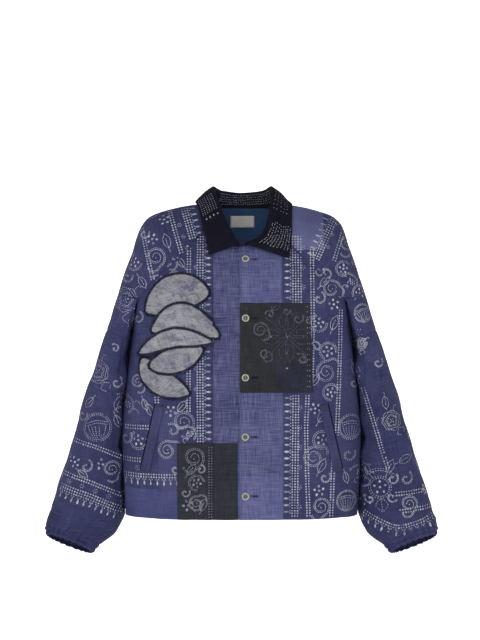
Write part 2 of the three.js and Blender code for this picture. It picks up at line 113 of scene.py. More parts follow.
TUBE = [
    (0.0, 262, -186, 222, -206, 2, 84, 0), (0.14, 287, -262, 226, -282, 16, 92, 0),
    (0.3, 316, -350, 232, -372, 30, 93, 0), (0.48, 346, -447, 238, -478, 38, 88, 2),
    (0.64, 374, -537, 242, -575, 34, 84, 4), (0.78, 395, -606, 247, -642, 22, 80, 8),
    (0.9, 409, -654, 268, -690, 4, 70, 11), (1.0, 413, -679, 302, -715, -8, 58, 13),
    (1.08, 412, -698, 319, -733, -14, 49, 14),
]
FRONT_FOLDS = [(205, -215, 150, -400, 24, 4), (226, -300, 205, -600, 22, 5), (120, -470, 128, HEM, 30, 3)]
BACK_FOLDS = [(190, -190, 120, -420, 28, 5), (60, -360, 66, HEM, 30, 4), (190, -400, 180, HEM, 26, 6)]
COLLAR = [
    (-1, -3, -98, -84, -68, -106, -106), (-0.85, -24, -84, -50, -75, -90, -72),
    (-0.7, -44, -50, 0, -86, -62, -24), (-0.5, -60, 8, 43, -98, 6, 13), (-0.25, -42, 68, 40, -66, 88, -10),
    (0, 0, 82, 36, 0, 102, -20), (0.25, 46, 68, 40, 68, 88, -10), (0.5, 65, 8, 43, 103, 6, 10),
    (0.7, 61, -50, 0, 106, -56, -26), (0.85, 42, -88, -60, 104, -92, -74), (1, 5, -101, -82, 98, -112, -113),
]

# Creases pressed in: x0, z0, x1, z1, half width, height. Troughs are negative.
FRONT_CREASES = [
    (200, -212, 128, -292, 9, 3.0), (190, -236, 112, -340, 10, -2.4), (214, -262, 168, -372, 8, 2.4),
    (-200, -212, -138, -330, 10, 2.6), (-206, -250, -160, -420, 9, -2.2), (-222, -300, -196, -396, 8, 2.2),
    (40, -130, 78, -196, 9, -1.4), (-36, -120, -60, -200, 9, -1.4), (150, -150, 176, -206, 10, 1.8),
    (-150, -146, -172, -210, 10, 1.8), (60, -410, 52, -640, 11, 1.8), (96, -430, 102, -650, 10, -1.8),
    (152, -420, 166, -640, 12, 2.4), (-44, -300, -36, -460, 10, 1.6), (-90, -500, -96, -650, 10, -1.6),
    (-150, -470, -166, -650, 12, 2.4), (-196, -560, -202, -650, 9, -2.4), (212, -560, 206, -650, 9, -2.4),
    (26, -260, 118, -300, 9, -1.2), (30, -372, 120, -352, 8, 1.2), (-30, -598, -118, -618, 9, 1.2),
    (20, -500, 74, -520, 8, -1.1), (-20, -230, -52, -262, 8, 1.2), (85, -60, 85, HEM, 2.6, -1.3),
    (-59, -60, -59, HEM, 2.6, -1.3),
]
BACK_CREASES = [
    (196, -204, 120, -300, 10, 3.2), (-196, -204, -110, -320, 11, 3.0), (206, -250, 150, -380, 10, -2.6),
    (-208, -260, -140, -400, 10, -2.6), (120, -120, 160, -196, 11, 2.2), (-124, -110, -166, -196, 11, 2.2),
    (-70, -40, 70, -44, 12, 1.4), (30, -420, 12, -650, 13, 3.0), (-36, -400, -54, -650, 12, -2.6),
    (104, -460, 112, -650, 12, -2.6), (-120, -470, -110, -650, 13, 3.0), (160, -500, 150, -650, 11, 2.4),
    (-170, -520, -176, -650, 11, -2.4), (-60, -250, 52, -282, 11, -1.4), (0, -90, 0, HEM, 2.6, -1.3),
]
# The sleeves' creases: share of the tube's length and turn where each starts, then where it ends, then its
# half width as a share of that length, and its height in mm.
SLEEVE_CREASES = [
    (0.02, -0.35, 0.2, 0.1, 0.03, 3.2), (0.1, -0.45, 0.3, -0.05, 0.03, -3.0),
    (0.2, -0.5, 0.36, 0.02, 0.026, 2.6), (0.42, -0.42, 0.5, 0.12, 0.026, 3.4),
    (0.48, -0.46, 0.58, 0.02, 0.024, -3.2), (0.55, -0.4, 0.66, 0.14, 0.026, 3.2),
    (0.64, -0.46, 0.76, -0.02, 0.026, -3.2), (0.7, -0.3, 0.82, 0.2, 0.024, 3.0),
    (0.78, -0.1, 0.9, 0.3, 0.024, -2.6), (0.3, 0.3, 0.44, 0.5, 0.03, 2.2), (0.5, 0.62, 0.6, 1.1, 0.03, 3.0),
    (0.58, 0.7, 0.72, 1.2, 0.03, -2.8), (0.1, 0.9, 0.3, 1.3, 0.03, 3.0),
    (0.22, 0.95, 0.36, 1.3, 0.026, -2.6), (0.7, 0.8, 0.8, 1.2, 0.026, 3.0),
    (0.82, 0.6, 0.92, 1.1, 0.024, -2.4),
]


def along(rows, where):
    """Smooth curve through the rows of a table whose first column rises; one array for each other column."""
    rows = np.asarray(rows, float)
    last = len(rows) - 1
    t = np.clip(np.asarray(where, float), rows[0, 0], rows[last, 0])
    i = np.clip(np.searchsorted(rows[:, 0], t, side="left") - 1, 0, last - 1)
    a, b, c, d = rows[np.maximum(i - 1, 0)], rows[i], rows[i + 1], rows[np.minimum(i + 2, last)]
    span = (c - b)[..., :1]
    s = (t[..., None] - b[..., :1]) / span
    start = (c - a) / (c - a)[..., :1] * span
    end = (d - b) / (d - b)[..., :1] * span
    rise = s * s * (3 - 2 * s)
    out = b + (c - b) * rise + start * s * (1 - s) ** 2 - end * s * s * (1 - s)
    return np.moveaxis(out[..., 1:], -1, 0)


def mix(a, b, s):
    return a + (b - a) * s


def smooth(s):
    s = np.clip(s, 0, 1)
    return s * s * (3 - 2 * s)


def drape(x, z, folds):
    """Height of soft folds at a place; each fold runs along a line."""
    height = np.zeros(np.broadcast(x, z).shape)
    for x0, z0, x1, z1, width, rise in folds:
        length = math.hypot(x1 - x0, z1 - z0)
        ahead = ((x - x0) * (x1 - x0) + (z - z0) * (z1 - z0)) / length
        beside = ((x - x0) * (z1 - z0) - (z - z0) * (x1 - x0)) / length
        away = np.hypot(ahead - np.clip(ahead, 0, length), beside) / width
        height = height + rise * np.exp(-away * away)
    return height


def crumple(u, v, size=1.0):
    """Small uneven rise and fall of worn cloth, about a millimetre."""
    waves = [(0.071, 0.043, 0.3, 0.50), (-0.052, 0.088, 1.7, 0.42), (0.031, -0.119, 4.1, 0.34),
             (0.147, 0.062, 2.2, 0.26), (-0.169, 0.121, 5.0, 0.20), (0.093, 0.211, 0.9, 0.17),
             (0.262, -0.104, 3.3, 0.12), (-0.238, -0.229, 1.1, 0.10)]
    return size * sum(rise * np.sin(a * u + b * v + turn) for a, b, turn, rise in waves)


def bulge(reach, square):
    """How far a rounded section stands out, from 1 in its middle to 0 at its sides."""
    return np.maximum(1 - np.abs(reach) ** square, 0) ** (1 / square)


def rounded(wave):
    """A sine or cosine with its section made a little squarer."""
    return np.sign(wave) * np.abs(wave) ** SLEEVE_ROUND


def facing(behind):
    return np.array([0, 1.0 if behind else -1.0, 0])


def half_width(z):
    return along(BODY, z)[0]


def top_edge(x, behind):
    if behind:
        neck, raglan, corner = NECK_BACK, RAGLAN_BACK, NECK_X_BACK
    else:
        neck, raglan, corner = NECK_FRONT, RAGLAN_FRONT, NECK_X
    x = np.abs(x)
    return np.where(x <= corner, along(neck, x)[0], along(raglan, x)[0])


def body_y(x, z, behind, worn=True):
    """Depth of the body's cloth at x and z, before or behind."""
    half, front, back, square = along(BODY, z)
    roundness = bulge(x / half, square)
    fold = drape(np.abs(x), z, BACK_FOLDS if behind else FRONT_FOLDS)
    if worn:
        near_top = smooth((top_edge(x, behind) + 4 - z) / CREASE_FADE)
        creases = BACK_CREASES if behind else FRONT_CREASES
        hand = CREASED * drape(x, z, creases) + crumple(x, z + 900 * behind, 1.3)
        pucker = 0.7 * np.sin((np.abs(x) - z) * 0.42) * np.exp(-np.abs(top_edge(x, behind) - z) / 11)
        hem_roll = -1.2 * np.exp(-(((z - HEM - HEM_SEWN) / 3.0) ** 2))
        hem_roll = hem_roll + 0.5 * np.sin(x * 0.33) * np.exp(-(z - HEM) / 16)
        fold = fold + hand * near_top + pucker * (np.abs(x) > NECK_X) + hem_roll
    fold = fold * np.minimum(roundness * 2, 1)
    return back * roundness + fold if behind else -front * roundness - fold


def body_point(x, z, behind, worn=True):
    return np.stack(np.broadcast_arrays(x, body_y(x, z, behind, worn), z), -1)


def head_point(side, share, turn):
    """The over arc of the sleeve head: turn 0 is the front seam, 0.5 the ridge, 1 the back seam."""
    share, turn = np.broadcast_arrays(np.asarray(share, float), np.asarray(turn, float))
    front_x, back_x, ridge_x, ridge_y, ridge_z = along(HEAD, share)
    front = body_point(front_x, top_edge(front_x, False), False, False)
    back = body_point(back_x, top_edge(back_x, True), True, False)
    seam = np.where((turn > 0.5)[..., None], back, front)
    angle = np.pi * np.minimum(turn, 1 - turn)
    rise = np.maximum(np.sin(angle), 0) ** SLEEVE_ROUND
    run = 1 - np.maximum(np.cos(angle), 0) ** SLEEVE_ROUND
    return np.stack([side * mix(seam[..., 0], ridge_x, rise), mix(seam[..., 1], ridge_y, run),
                     mix(seam[..., 2], ridge_z, rise)], -1)


def underarm_point(side, turn):
    """The lower edge of the armhole: turn 1 is its back end, 2 its front end."""
    share = turn - 1
    way = np.abs(share - 0.5) * 2
    widest = half_width(-203.0)
    x = np.minimum(mix(widest, ARMHOLE_X, smooth(way)), widest)
    front = body_point(x, top_edge(x, False), False, False)
    back = body_point(x, top_edge(x, True), True, False)
    point = np.where((share < 0.5)[..., None], back, front)
    point[..., 0] = side * (point[..., 0] + 1.5 * np.minimum((1 - way) * 4, 1))
    return point


def tube_point(side, share, turn):
    """The closed sleeve tube, kept clear of the side of the body."""
    share, turn = np.broadcast_arrays(np.asarray(share, float), np.asarray(turn, float))
    out_x, out_z, in_x, in_z, mid_y, depth, tilt = along(TUBE, share)
    angle = np.pi * turn
    across, deep = rounded(np.sin(angle)), rounded(np.cos(angle))
    blend = smooth(1 - share / HEAD_BLEND)
    top_x, top_z = TUBE[0][1:3]
    over = head_point(side, np.zeros_like(share), np.clip(turn, 0, 1))
    under = underarm_point(side, np.clip(turn, 1, 2))
    head = np.where((turn <= 1)[..., None], over, under)
    x = mix((out_x + in_x) / 2 + (out_x - in_x) / 2 * across, np.abs(head[..., 0]) + out_x - top_x, blend)
    y = mix(mid_y - depth * deep, head[..., 1], blend)
    z = mix((out_z + in_z) / 2 + (out_z - in_z) / 2 * across + tilt * deep, head[..., 2] + out_z - top_z,
            blend)
    half, front, back, square = along(BODY, z)
    room = bulge(y / np.where(y < 0, front + 8, back + 8), square)
    body = np.where((z > HEM - 12) & (room > 0), half * room + SLEEVE_CLEAR, 0)
    x = np.where(share > 0, np.maximum(x, body), x)
    return np.stack([side * x, y, z], -1)


# ---- laid cloth ----

EDGE_ON = -0.05  # cloth turned further away than this isn't searched for the place of a mark
FOUND_NEAR, FINDING_STEPS = 0.8, 5  # mm, and steps of the search
SEAM_WELD = 0.00002  # metres, between the grids of one piece
SEAM_REACH = 20  # the "seam" attribute rises to 1 over this distance from an edge, mm


def tree_of(places):
    tree = KDTree(len(places))
    for i, place in enumerate(places):
        tree.insert(place, i)
    tree.balance()
    return tree


class Laid:
    """A grid of cloth points in mm, with outward normals and its distances along and across."""

    def __init__(self, points, outward, wraps=False):
        rows = np.gradient(points, axis=0)
        columns = np.gradient(points, axis=1)
        if wraps:
            columns[:, 0] = columns[:, -1] = (points[:, 1] - points[:, -2]) / 2
        normals = np.cross(columns, rows)
        normals /= np.maximum(np.linalg.norm(normals, axis=-1, keepdims=True), 1e-9)
        self.flipped = (normals * outward).sum() < 0
        self.normals = -normals if self.flipped else normals
        self.points, self.wraps = points, wraps
        across = np.linalg.norm(np.diff(points, axis=1), axis=-1)
        down = np.linalg.norm(np.diff(points, axis=0), axis=-1)
        self.across = np.pad(np.cumsum(across, axis=1), ((0, 0), (1, 0)))
        self.down = np.pad(np.cumsum(down, axis=0), ((1, 0), (0, 0)))
        self.trees = {}

    def raised(self, height):
        """The same cloth with every point moved out by a height."""
        height = np.asarray(height, float)
        return Laid(self.points + self.normals * height[..., None], self.normals, self.wraps)

    def seam_distance(self):
        sides = [self.down, self.down[-1] - self.down]
        if not self.wraps:
            sides += [self.across, self.across[:, -1:] - self.across]
        return np.minimum.reduce(sides)

    def sample(self, table, r, c):
        rows, columns = table.shape[:2]
        r, c = np.clip(r, 0, rows - 1.0001), np.clip(c, 0, columns - 1.0001)
        r0, c0 = r.astype(int), c.astype(int)
        fr, fc = (r - r0)[:, None], (c - c0)[:, None]
        low = table[r0, c0] * (1 - fc) + table[r0, c0 + 1] * fc
        high = table[r0 + 1, c0] * (1 - fc) + table[r0 + 1, c0 + 1] * fc
        return low * (1 - fr) + high * fr

    def find(self, x, z, behind):
        """Grid places that lie at x and z in the front or back view, and which of them are on the cloth."""
        if behind not in self.trees:
            seen = np.argwhere(self.normals[..., 1] * (1 if behind else -1) > EDGE_ON)
            flat = [(self.points[r, c, 0], self.points[r, c, 2], 0) for r, c in seen]
            self.trees[behind] = seen, tree_of(flat)
        seen, tree = self.trees[behind]
        if not len(seen) or not len(x):
            return np.zeros(len(x)), np.zeros(len(x)), np.zeros(len(x), bool)
        near = seen[[tree.find((a, b, 0))[1] for a, b in zip(x, z)]].astype(float)
        r, c = near[:, 0], near[:, 1]
        rows, columns = self.points.shape[:2]
        for _ in range(FINDING_STEPS):
            here = self.sample(self.points, r, c)
            by_row = self.sample(self.points, r + 0.5, c) - self.sample(self.points, r - 0.5, c)
            by_column = self.sample(self.points, r, c + 0.5) - self.sample(self.points, r, c - 0.5)
            dx, dz = x - here[:, 0], z - here[:, 2]
            det = by_row[:, 0] * by_column[:, 2] - by_row[:, 2] * by_column[:, 0]
            det = np.where(np.abs(det) < 1e-6, 1e-6, det)
            r = np.clip(r + np.clip((dx * by_column[:, 2] - dz * by_column[:, 0]) / det, -2, 2), 0, rows - 1)
            c = np.clip(c + np.clip((dz * by_row[:, 0] - dx * by_row[:, 2]) / det, -2, 2), 0, columns - 1)
        here = self.sample(self.points, r, c)
        return r, c, np.hypot(here[:, 0] - x, here[:, 2] - z) < FOUND_NEAR


def add_grid(bm, laid, uv_layer, seam_layer):
    """Lays a bmesh grid on the cloth, with its distances in metres as its UV map."""
    rows, columns = laid.points.shape[:2]
    made = bmesh.ops.create_grid(bm, x_segments=columns - 1, y_segments=rows - 1, size=1.0)["verts"]
    seam = laid.seam_distance()
    cells = {}
    for vert in made:
        c = round((vert.co.x + 1) / 2 * (columns - 1))
        r = round((vert.co.y + 1) / 2 * (rows - 1))
        cells[vert] = r, c
        vert[seam_layer] = min(seam[r, c] / SEAM_REACH, 1.0)
        vert.co = laid.points[r, c] * MM
    faces = {face for vert in made for face in vert.link_faces}
    for face in faces:
        for loop in face.loops:
            r, c = cells[loop.vert]
            loop[uv_layer].uv = laid.across[r, c] * MM, laid.down[r, c] * MM
    if laid.flipped:
        bmesh.ops.reverse_faces(bm, faces=list(faces))


def stand_piece(name, mesh, material):
    """An object that shows a mesh, riding the part's one body, with its material."""
    mesh.shade_smooth()
    mesh.materials.append(material)
    piece = bpy.data.objects.new(name, mesh)
    bpy.context.scene.collection.objects.link(piece)
    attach(piece, "root")
    return piece


def mesh_from(bm, name):
    mesh = bpy.data.meshes.new(name)
    bm.to_mesh(mesh)
    bm.free()
    return mesh


def lay_cloth(name, grids, material, thickness, nodes=()):
    """A piece of cloth from one or more laid grids, with a thin wall inwards."""
    bm = bmesh.new()
    uv_layer = bm.loops.layers.uv.new("cloth")
    seam_layer = bm.verts.layers.float.new("seam")
    for laid in grids:
        add_grid(bm, laid, uv_layer, seam_layer)
    bmesh.ops.remove_doubles(bm, verts=bm.verts, dist=SEAM_WELD)
    piece = stand_piece(name, mesh_from(bm, name), material)
    wall = piece.modifiers.new("wall", "SOLIDIFY")
    wall.thickness = thickness * MM
    wall.offset = -1
    if nodes:
        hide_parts(*nodes)
    return piece


# ---- finishes ----

YARN_PITCH = 0.0011  # metres from yarn to yarn of the weave
DULL = 0.25  # specular level of cloth and thread


def colour(red, green, blue):
    """A colour given as a dyer's chart gives it, 0 to 255, made linear."""
    parts = [c / 255 for c in (red, green, blue)]
    return tuple(c / 12.92 if c < 0.04045 else ((c + 0.055) / 1.055) ** 2.4 for c in parts) + (1.0,)


class Tree:
    """Short words for adding nodes to a material or a node group."""

    def __init__(self, tree):
        self.tree = tree

    def add(self, kind, inputs=None, **settings):
        node = self.tree.nodes.new(kind)
        for key, value in settings.items():
            setattr(node, key, value)
        for key, value in (inputs or {}).items():
            socket = node.inputs[key]
            if isinstance(value, bpy.types.NodeSocket):
                self.tree.links.new(value, socket)
            else:
                socket.default_value = value
        return node

    def join(self, value, socket):
        self.tree.links.new(value, socket)

    def group(self, node_tree, inputs):
        return self.add("ShaderNodeGroup", inputs, node_tree=node_tree).outputs

    def relief(self, height, strength, distance, shader):
        """Small bumps in the shader's surface; the distance is in metres."""
        inputs = {"Height": height, "Strength": strength, "Distance": distance}
        self.join(self.add("ShaderNodeBump", inputs).outputs[0], shader.inputs["Normal"])

    def math(self, operation, *values, clamp=False):
        return self.add("ShaderNodeMath", dict(enumerate(values)), operation=operation,
                        use_clamp=clamp).outputs[0]

    def mixed(self, factor, a, b, blend_type="MIX"):
        inputs = {0: factor, 6: a, 7: b}
        return self.add("ShaderNodeMix", inputs, data_type="RGBA", blend_type=blend_type).outputs[2]

    def tinted(self, base, tone, mask, amount):
        """A base colour with a tone laid over it where a mask is."""
        return self.mixed(self.math("MULTIPLY", mask, amount), base, tone)

    def stepped(self, value, low, high):
        inputs = {0: value, 1: low, 2: high}
        return self.add("ShaderNodeMapRange", inputs, interpolation_type="SMOOTHSTEP").outputs[0]

    def noise(self, where, stretch, detail=3.0, rough=0.55):
        placed = self.add("ShaderNodeMapping", {"Vector": where, "Scale": stretch}).outputs[0]
        inputs = {"Vector": placed, "Scale": 1.0, "Detail": detail, "Roughness": rough}
        return self.add("ShaderNodeTexNoise", inputs).outputs[0]


def start_group(name, inputs, outputs):
    group = bpy.data.node_groups.new(name, "ShaderNodeTree")
    for label, kind, value in inputs:
        socket = group.interface.new_socket(name=label, in_out="INPUT", socket_type=kind)
        socket.default_value = value
    for label, kind in outputs:
        group.interface.new_socket(name=label, in_out="OUTPUT", socket_type=kind)
    tree = Tree(group)
    return tree, tree.add("NodeGroupInput").outputs, tree.add("NodeGroupOutput").inputs


FLOAT, VECTOR = "NodeSocketFloat", "NodeSocketVector"


def make_slub_weave():
    """Thick and thin yarns both ways along the cloth, and the weave's own small relief."""
    tree, given, out = start_group(
        "slub_weave", [("Cloth", VECTOR, (0, 0, 0)), ("Pitch", FLOAT, YARN_PITCH)],
        [("Slubs", FLOAT), ("Height", FLOAT)])
    warp = tree.noise(given["Cloth"], (520, 26, 1), 3, 0.6)
    weft = tree.noise(given["Cloth"], (22, 430, 1), 3, 0.6)
    cross = tree.noise(given["Cloth"], (1300, 1300, 1), 2, 0.6)
    slubs = tree.math("ADD", tree.math("MULTIPLY", warp, 0.5), tree.math("MULTIPLY", weft, 0.5))
    split = tree.add("ShaderNodeSeparateXYZ", {0: given["Cloth"]}).outputs
    turns = tree.math("DIVIDE", 2 * math.pi, given["Pitch"])
    ends = tree.math("SINE", tree.math("MULTIPLY", split[0], turns))
    picks = tree.math("SINE", tree.math("MULTIPLY", split[1], turns))
    weave = tree.math("MULTIPLY", ends, picks)
    relief = tree.math("MULTIPLY_ADD", weave, 0.22, tree.math("MULTIPLY", slubs, 1.1))
    tree.join(tree.stepped(slubs, 0.34, 0.66), out["Slubs"])
    tree.join(tree.math("MULTIPLY_ADD", cross, 0.3, relief), out["Height"])
    return tree.tree


def make_washed():
    """Uneven fading from many washes, stronger beside seams and hems, and darker patches of kept dye."""
    tree, given, out = start_group(
        "washed", [("Place", VECTOR, (0, 0, 0)), ("Seam", FLOAT, 1.0), ("Size", FLOAT, 9.0)],
        [("Fade", FLOAT), ("Deep", FLOAT), ("Edge", FLOAT)])
    sized = tree.add("ShaderNodeVectorMath", {0: given["Place"], "Scale": given["Size"]},
                     operation="SCALE").outputs[0]
    broad = tree.noise(sized, (1, 1, 1), 5, 0.6)
    other = tree.noise(sized, (0.45, 0.45, 0.45), 3, 0.5)
    speckle = tree.noise(given["Place"], (260, 260, 260), 3, 0.7)
    close = tree.math("SUBTRACT", 1.0, given["Seam"], clamp=True)
    near = tree.math("MULTIPLY", tree.math("POWER", close, 6.0), tree.stepped(speckle, 0.3, 0.75))
    tree.join(tree.stepped(broad, 0.4, 0.68), out["Fade"])
    tree.join(tree.stepped(other, 0.47, 0.62), out["Deep"])
    tree.join(near, out["Edge"])
    return tree.tree


def make_piece_and_shade_area():
    """An area of another tone, as a mask with a thin seam line round it; most are pieced areas of the
    patchwork, and one, on the left sleeve, is painted shade.
    """
    tree, given, out = start_group(
        "piece_and_shade_area", [("Place", VECTOR, (0, 0, 0)), ("Low X", FLOAT, -1.0), ("High X", FLOAT, 1.0),
                        ("Low Z", FLOAT, -1.0), ("High Z", FLOAT, 1.0)], [("Mask", FLOAT), ("Seam", FLOAT)])
    split = tree.add("ShaderNodeSeparateXYZ", {0: given["Place"]}).outputs
    wobble = tree.math("MULTIPLY_ADD", tree.noise(given["Place"], (30, 30, 30), 2), 0.003, -0.0015)
    x = tree.math("ADD", split[0], wobble)
    z = tree.math("ADD", split[2], wobble)
    inside = tree.math("SUBTRACT", x, given["Low X"])
    for distance in (tree.math("SUBTRACT", given["High X"], x), tree.math("SUBTRACT", z, given["Low Z"]),
                     tree.math("SUBTRACT", given["High Z"], z)):
        inside = tree.math("MINIMUM", inside, distance)
    tree.join(tree.stepped(inside, -0.0006, 0.0006), out["Mask"])
    away = tree.math("ABSOLUTE", inside)
    tree.join(tree.math("SUBTRACT", 1.0, tree.stepped(away, 0.0004, 0.0022)), out["Seam"])
    return tree.tree


def make_stain():
    """Soft-edged stains that stand in broken pools."""
    tree, given, out = start_group(
        "stained", [("Place", VECTOR, (0, 0, 0)), ("Size", FLOAT, 30.0), ("Cover", FLOAT, 0.55)],
        [("Mask", FLOAT)])
    sized = tree.add("ShaderNodeVectorMath", {0: given["Place"], "Scale": given["Size"]},
                     operation="SCALE").outputs[0]
    pools = tree.noise(sized, (1, 1, 1.4), 6, 0.68)
    high = tree.math("ADD", given["Cover"], 0.13)
    tree.join(tree.stepped(pools, given["Cover"], high), out["Mask"])
    return tree.tree


WEAVE, WASHED, PIECE_AND_SHADE_AREA, STAINED = make_slub_weave(), make_washed(), make_piece_and_shade_area(), make_stain()


def start_finish(name):
    """A new material: itself, its tree, its shader and the place on the part that its patterns follow."""
    material = bpy.data.materials.new(name)
    material.use_nodes = True
    tree = Tree(material.node_tree)
    place = tree.add("ShaderNodeTexCoord").outputs["Object"]
    return material, tree, material.node_tree.nodes["Principled BSDF"], place


def cloth_finish(name, ground, pale, deep, slub=0.5, relief=0.35, areas=(), stains=(), fade=0.6, edge=0.5,
                 size=9.0):
    """Dyed woven cloth: a ground colour with pale and deep tones, pieced areas and stains; an area can also
    be painted shade.
    """
    material, tree, shader, place = start_finish(name)
    cloth = tree.add("ShaderNodeUVMap", uv_map="cloth").outputs[0]
    seam = tree.add("ShaderNodeAttribute", attribute_name="seam").outputs["Fac"]
    weave = tree.group(WEAVE, {"Cloth": cloth})
    washed = tree.group(WASHED, {"Place": place, "Seam": seam, "Size": size})
    base = ground
    height = weave["Height"]
    for low_x, high_x, low_z, high_z, tone, amount in areas:
        edges = zip(("Low X", "High X", "Low Z", "High Z"), (low_x, high_x, low_z, high_z))
        area = tree.group(PIECE_AND_SHADE_AREA, {"Place": place, **{edge: value * MM for edge, value in edges}})
        base = tree.tinted(base, tone, area["Mask"], amount)
        base = tree.tinted(base, deep, area["Seam"], 0.45)
        height = tree.math("MULTIPLY_ADD", area["Seam"], -0.8, height)
    base = tree.tinted(base, deep, washed["Deep"], 0.55)
    base = tree.tinted(base, pale, washed["Fade"], fade * 0.5)
    slubs = weave["Slubs"]
    base = tree.tinted(base, pale, slubs, slub)
    base = tree.tinted(base, deep, tree.math("SUBTRACT", 1.0, slubs), slub * 0.75)
    base = tree.tinted(base, pale, washed["Edge"], edge)
    for tone, stain_size, cover, amount in stains:
        stain = tree.group(STAINED, {"Place": place, "Size": stain_size, "Cover": cover})
        base = tree.tinted(base, tone, stain["Mask"], amount)
    tree.join(base, shader.inputs["Base Color"])
    tree.join(tree.math("MULTIPLY_ADD", slubs, -0.1, 0.94), shader.inputs["Roughness"])
    shader.inputs["Specular IOR Level"].default_value = DULL
    tree.relief(height, relief, 0.0006, shader)
    return material


def thread_finish(name, ground, pale, worn, amount=0.75):
    """Printed dots, stitches and thread: each mark keeps its own wear, and areas of it have washed out."""
    material, tree, shader, place = start_finish(name)
    wear = tree.add("ShaderNodeAttribute", attribute_name="wear").outputs["Fac"]
    washed = tree.group(WASHED, {"Place": place, "Size": 14.0})
    strands = tree.noise(place, (1500, 1500, 1500), 2, 0.6)
    base = tree.mixed(tree.stepped(strands, 0.35, 0.7), ground, pale)
    gone = tree.math("MULTIPLY", tree.math("MULTIPLY_ADD", washed["Fade"], 0.45, wear), amount,
                     clamp=True)
    base = tree.mixed(gone, base, worn)
    tree.join(base, shader.inputs["Base Color"])
    tree.join(tree.math("MULTIPLY_ADD", strands, 0.15, 0.8), shader.inputs["Roughness"])
    shader.inputs["Specular IOR Level"].default_value = DULL
    tree.relief(strands, 0.4, 0.0003, shader)
    return material


INDIGO, INDIGO_PALE, INDIGO_DEEP = colour(57, 60, 102), colour(100, 104, 148), colour(34, 36, 78)
SLUB, SLUB_PALE, SLUB_DEEP = colour(84, 87, 138), colour(136, 140, 182), colour(50, 52, 98)
NAVY = colour(38, 41, 82)
COAL, COAL_PALE, COAL_DEEP = colour(43, 44, 54), colour(84, 86, 98), colour(26, 26, 34)
MOSS = colour(42, 43, 40)
VIOLET = colour(74, 62, 122)

slub_cloth = cloth_finish(
    "slub_cotton", SLUB, SLUB_PALE, SLUB_DEEP, slub=0.62, relief=0.5, fade=0.8, edge=0.55,
    areas=[(-60, 0, -241, -60, colour(56, 58, 104), 0.9), (-60, 0, -500, -241, colour(50, 53, 96), 0.9),
           (0, 90, -206, -60, colour(92, 95, 150), 0.6), (0, 90, -700, -560, colour(104, 108, 164), 0.9)])
printed_cloth = cloth_finish(
    "printed_indigo", INDIGO, INDIGO_PALE, INDIGO_DEEP, slub=0.34, relief=0.4, fade=0.55, edge=0.5,
    areas=[(85, 120, -390, -206, VIOLET, 0.35), (-260, -59, -700, -590, colour(82, 86, 138), 0.9),
           (-172, -127, -592, -420, colour(84, 88, 132), 0.55),
           (-260, -196, -316, -240, colour(56, 60, 104), 0.7),
           (198, 260, -345, -230, colour(56, 60, 112), 0.7)])
back_cloth = cloth_finish(
    "printed_indigo_back", INDIGO, INDIGO_PALE, INDIGO_DEEP, slub=0.4, relief=0.45, fade=0.6, edge=0.5,
    areas=[(-70, 70, -206, 20, colour(82, 85, 136), 0.85), (96, 260, -420, -220, colour(70, 72, 122), 0.6),
           (-260, -110, -700, -430, colour(82, 86, 138), 0.85), (-60, 40, -560, -330, NAVY, 0.85),
           (120, 260, -700, -560, COAL, 0.9)])
sleeve_right_cloth = cloth_finish(
    "sleeve_indigo_right", INDIGO, INDIGO_PALE, INDIGO_DEEP, slub=0.32, relief=0.4, fade=0.55, edge=0.5,
    areas=[(-300, -215, -390, -262, colour(60, 62, 106), 0.8),
           (-262, -214, -250, -190, colour(70, 72, 124), 0.5)])
# The navy area down the middle of this sleeve, beside the body, is painted shade, drawn as a pieced area with
# a seam line round it.
sleeve_left_cloth = cloth_finish(
    "sleeve_indigo_left", INDIGO, INDIGO_PALE, INDIGO_DEEP, slub=0.32, relief=0.4, fade=0.55, edge=0.5,
    areas=[(90, 172, -96, 20, colour(128, 132, 182), 0.95), (258, 330, -470, -330, NAVY, 0.8),
           (300, 400, -560, -430, colour(50, 54, 98), 0.7)])
cuff_cloth = cloth_finish("cuff_cotton", colour(50, 52, 98), INDIGO_PALE, INDIGO_DEEP, slub=0.36, relief=0.45)
coal_cloth = cloth_finish("charcoal_cotton", COAL, COAL_PALE, COAL_DEEP, slub=0.3, relief=0.45, fade=0.4,
                          edge=0.4)
chest_cloth = cloth_finish(
    "charcoal_chest", COAL, COAL_PALE, COAL_DEEP, slub=0.26, relief=0.45, fade=0.35, edge=0.4,
    areas=[(-20, 68, -400, -200, MOSS, 0.9), (68, 150, -400, -330, colour(38, 40, 62), 0.8)],
    stains=[(colour(96, 98, 100), 60.0, 0.66, 0.5)])
linen_cloth = cloth_finish(
    "grey_linen", colour(158, 158, 164), colour(210, 212, 216), colour(104, 104, 120), slub=0.6, relief=0.6,
    fade=0.9, edge=0.1, size=22.0,
    stains=[(colour(104, 88, 140), 26.0, 0.52, 0.75), (colour(106, 108, 116), 60.0, 0.5, 0.6)])
facing_cloth = cloth_finish("facing_cotton", colour(56, 84, 126), colour(82, 114, 158), colour(36, 56, 90),
                            slub=0.22, relief=0.3, fade=0.4, edge=0.3)
collar_cloth = cloth_finish("collar_cotton", colour(15, 14, 34), colour(28, 28, 54), colour(7, 6, 18),
                            slub=0.26, relief=0.45, fade=0.3, edge=0.2)
label_cloth = cloth_finish("label_tape", colour(248, 243, 236), colour(252, 250, 246), colour(226, 218, 208),
                           slub=0.3, relief=0.3, fade=0.3, edge=0.0, size=60.0)
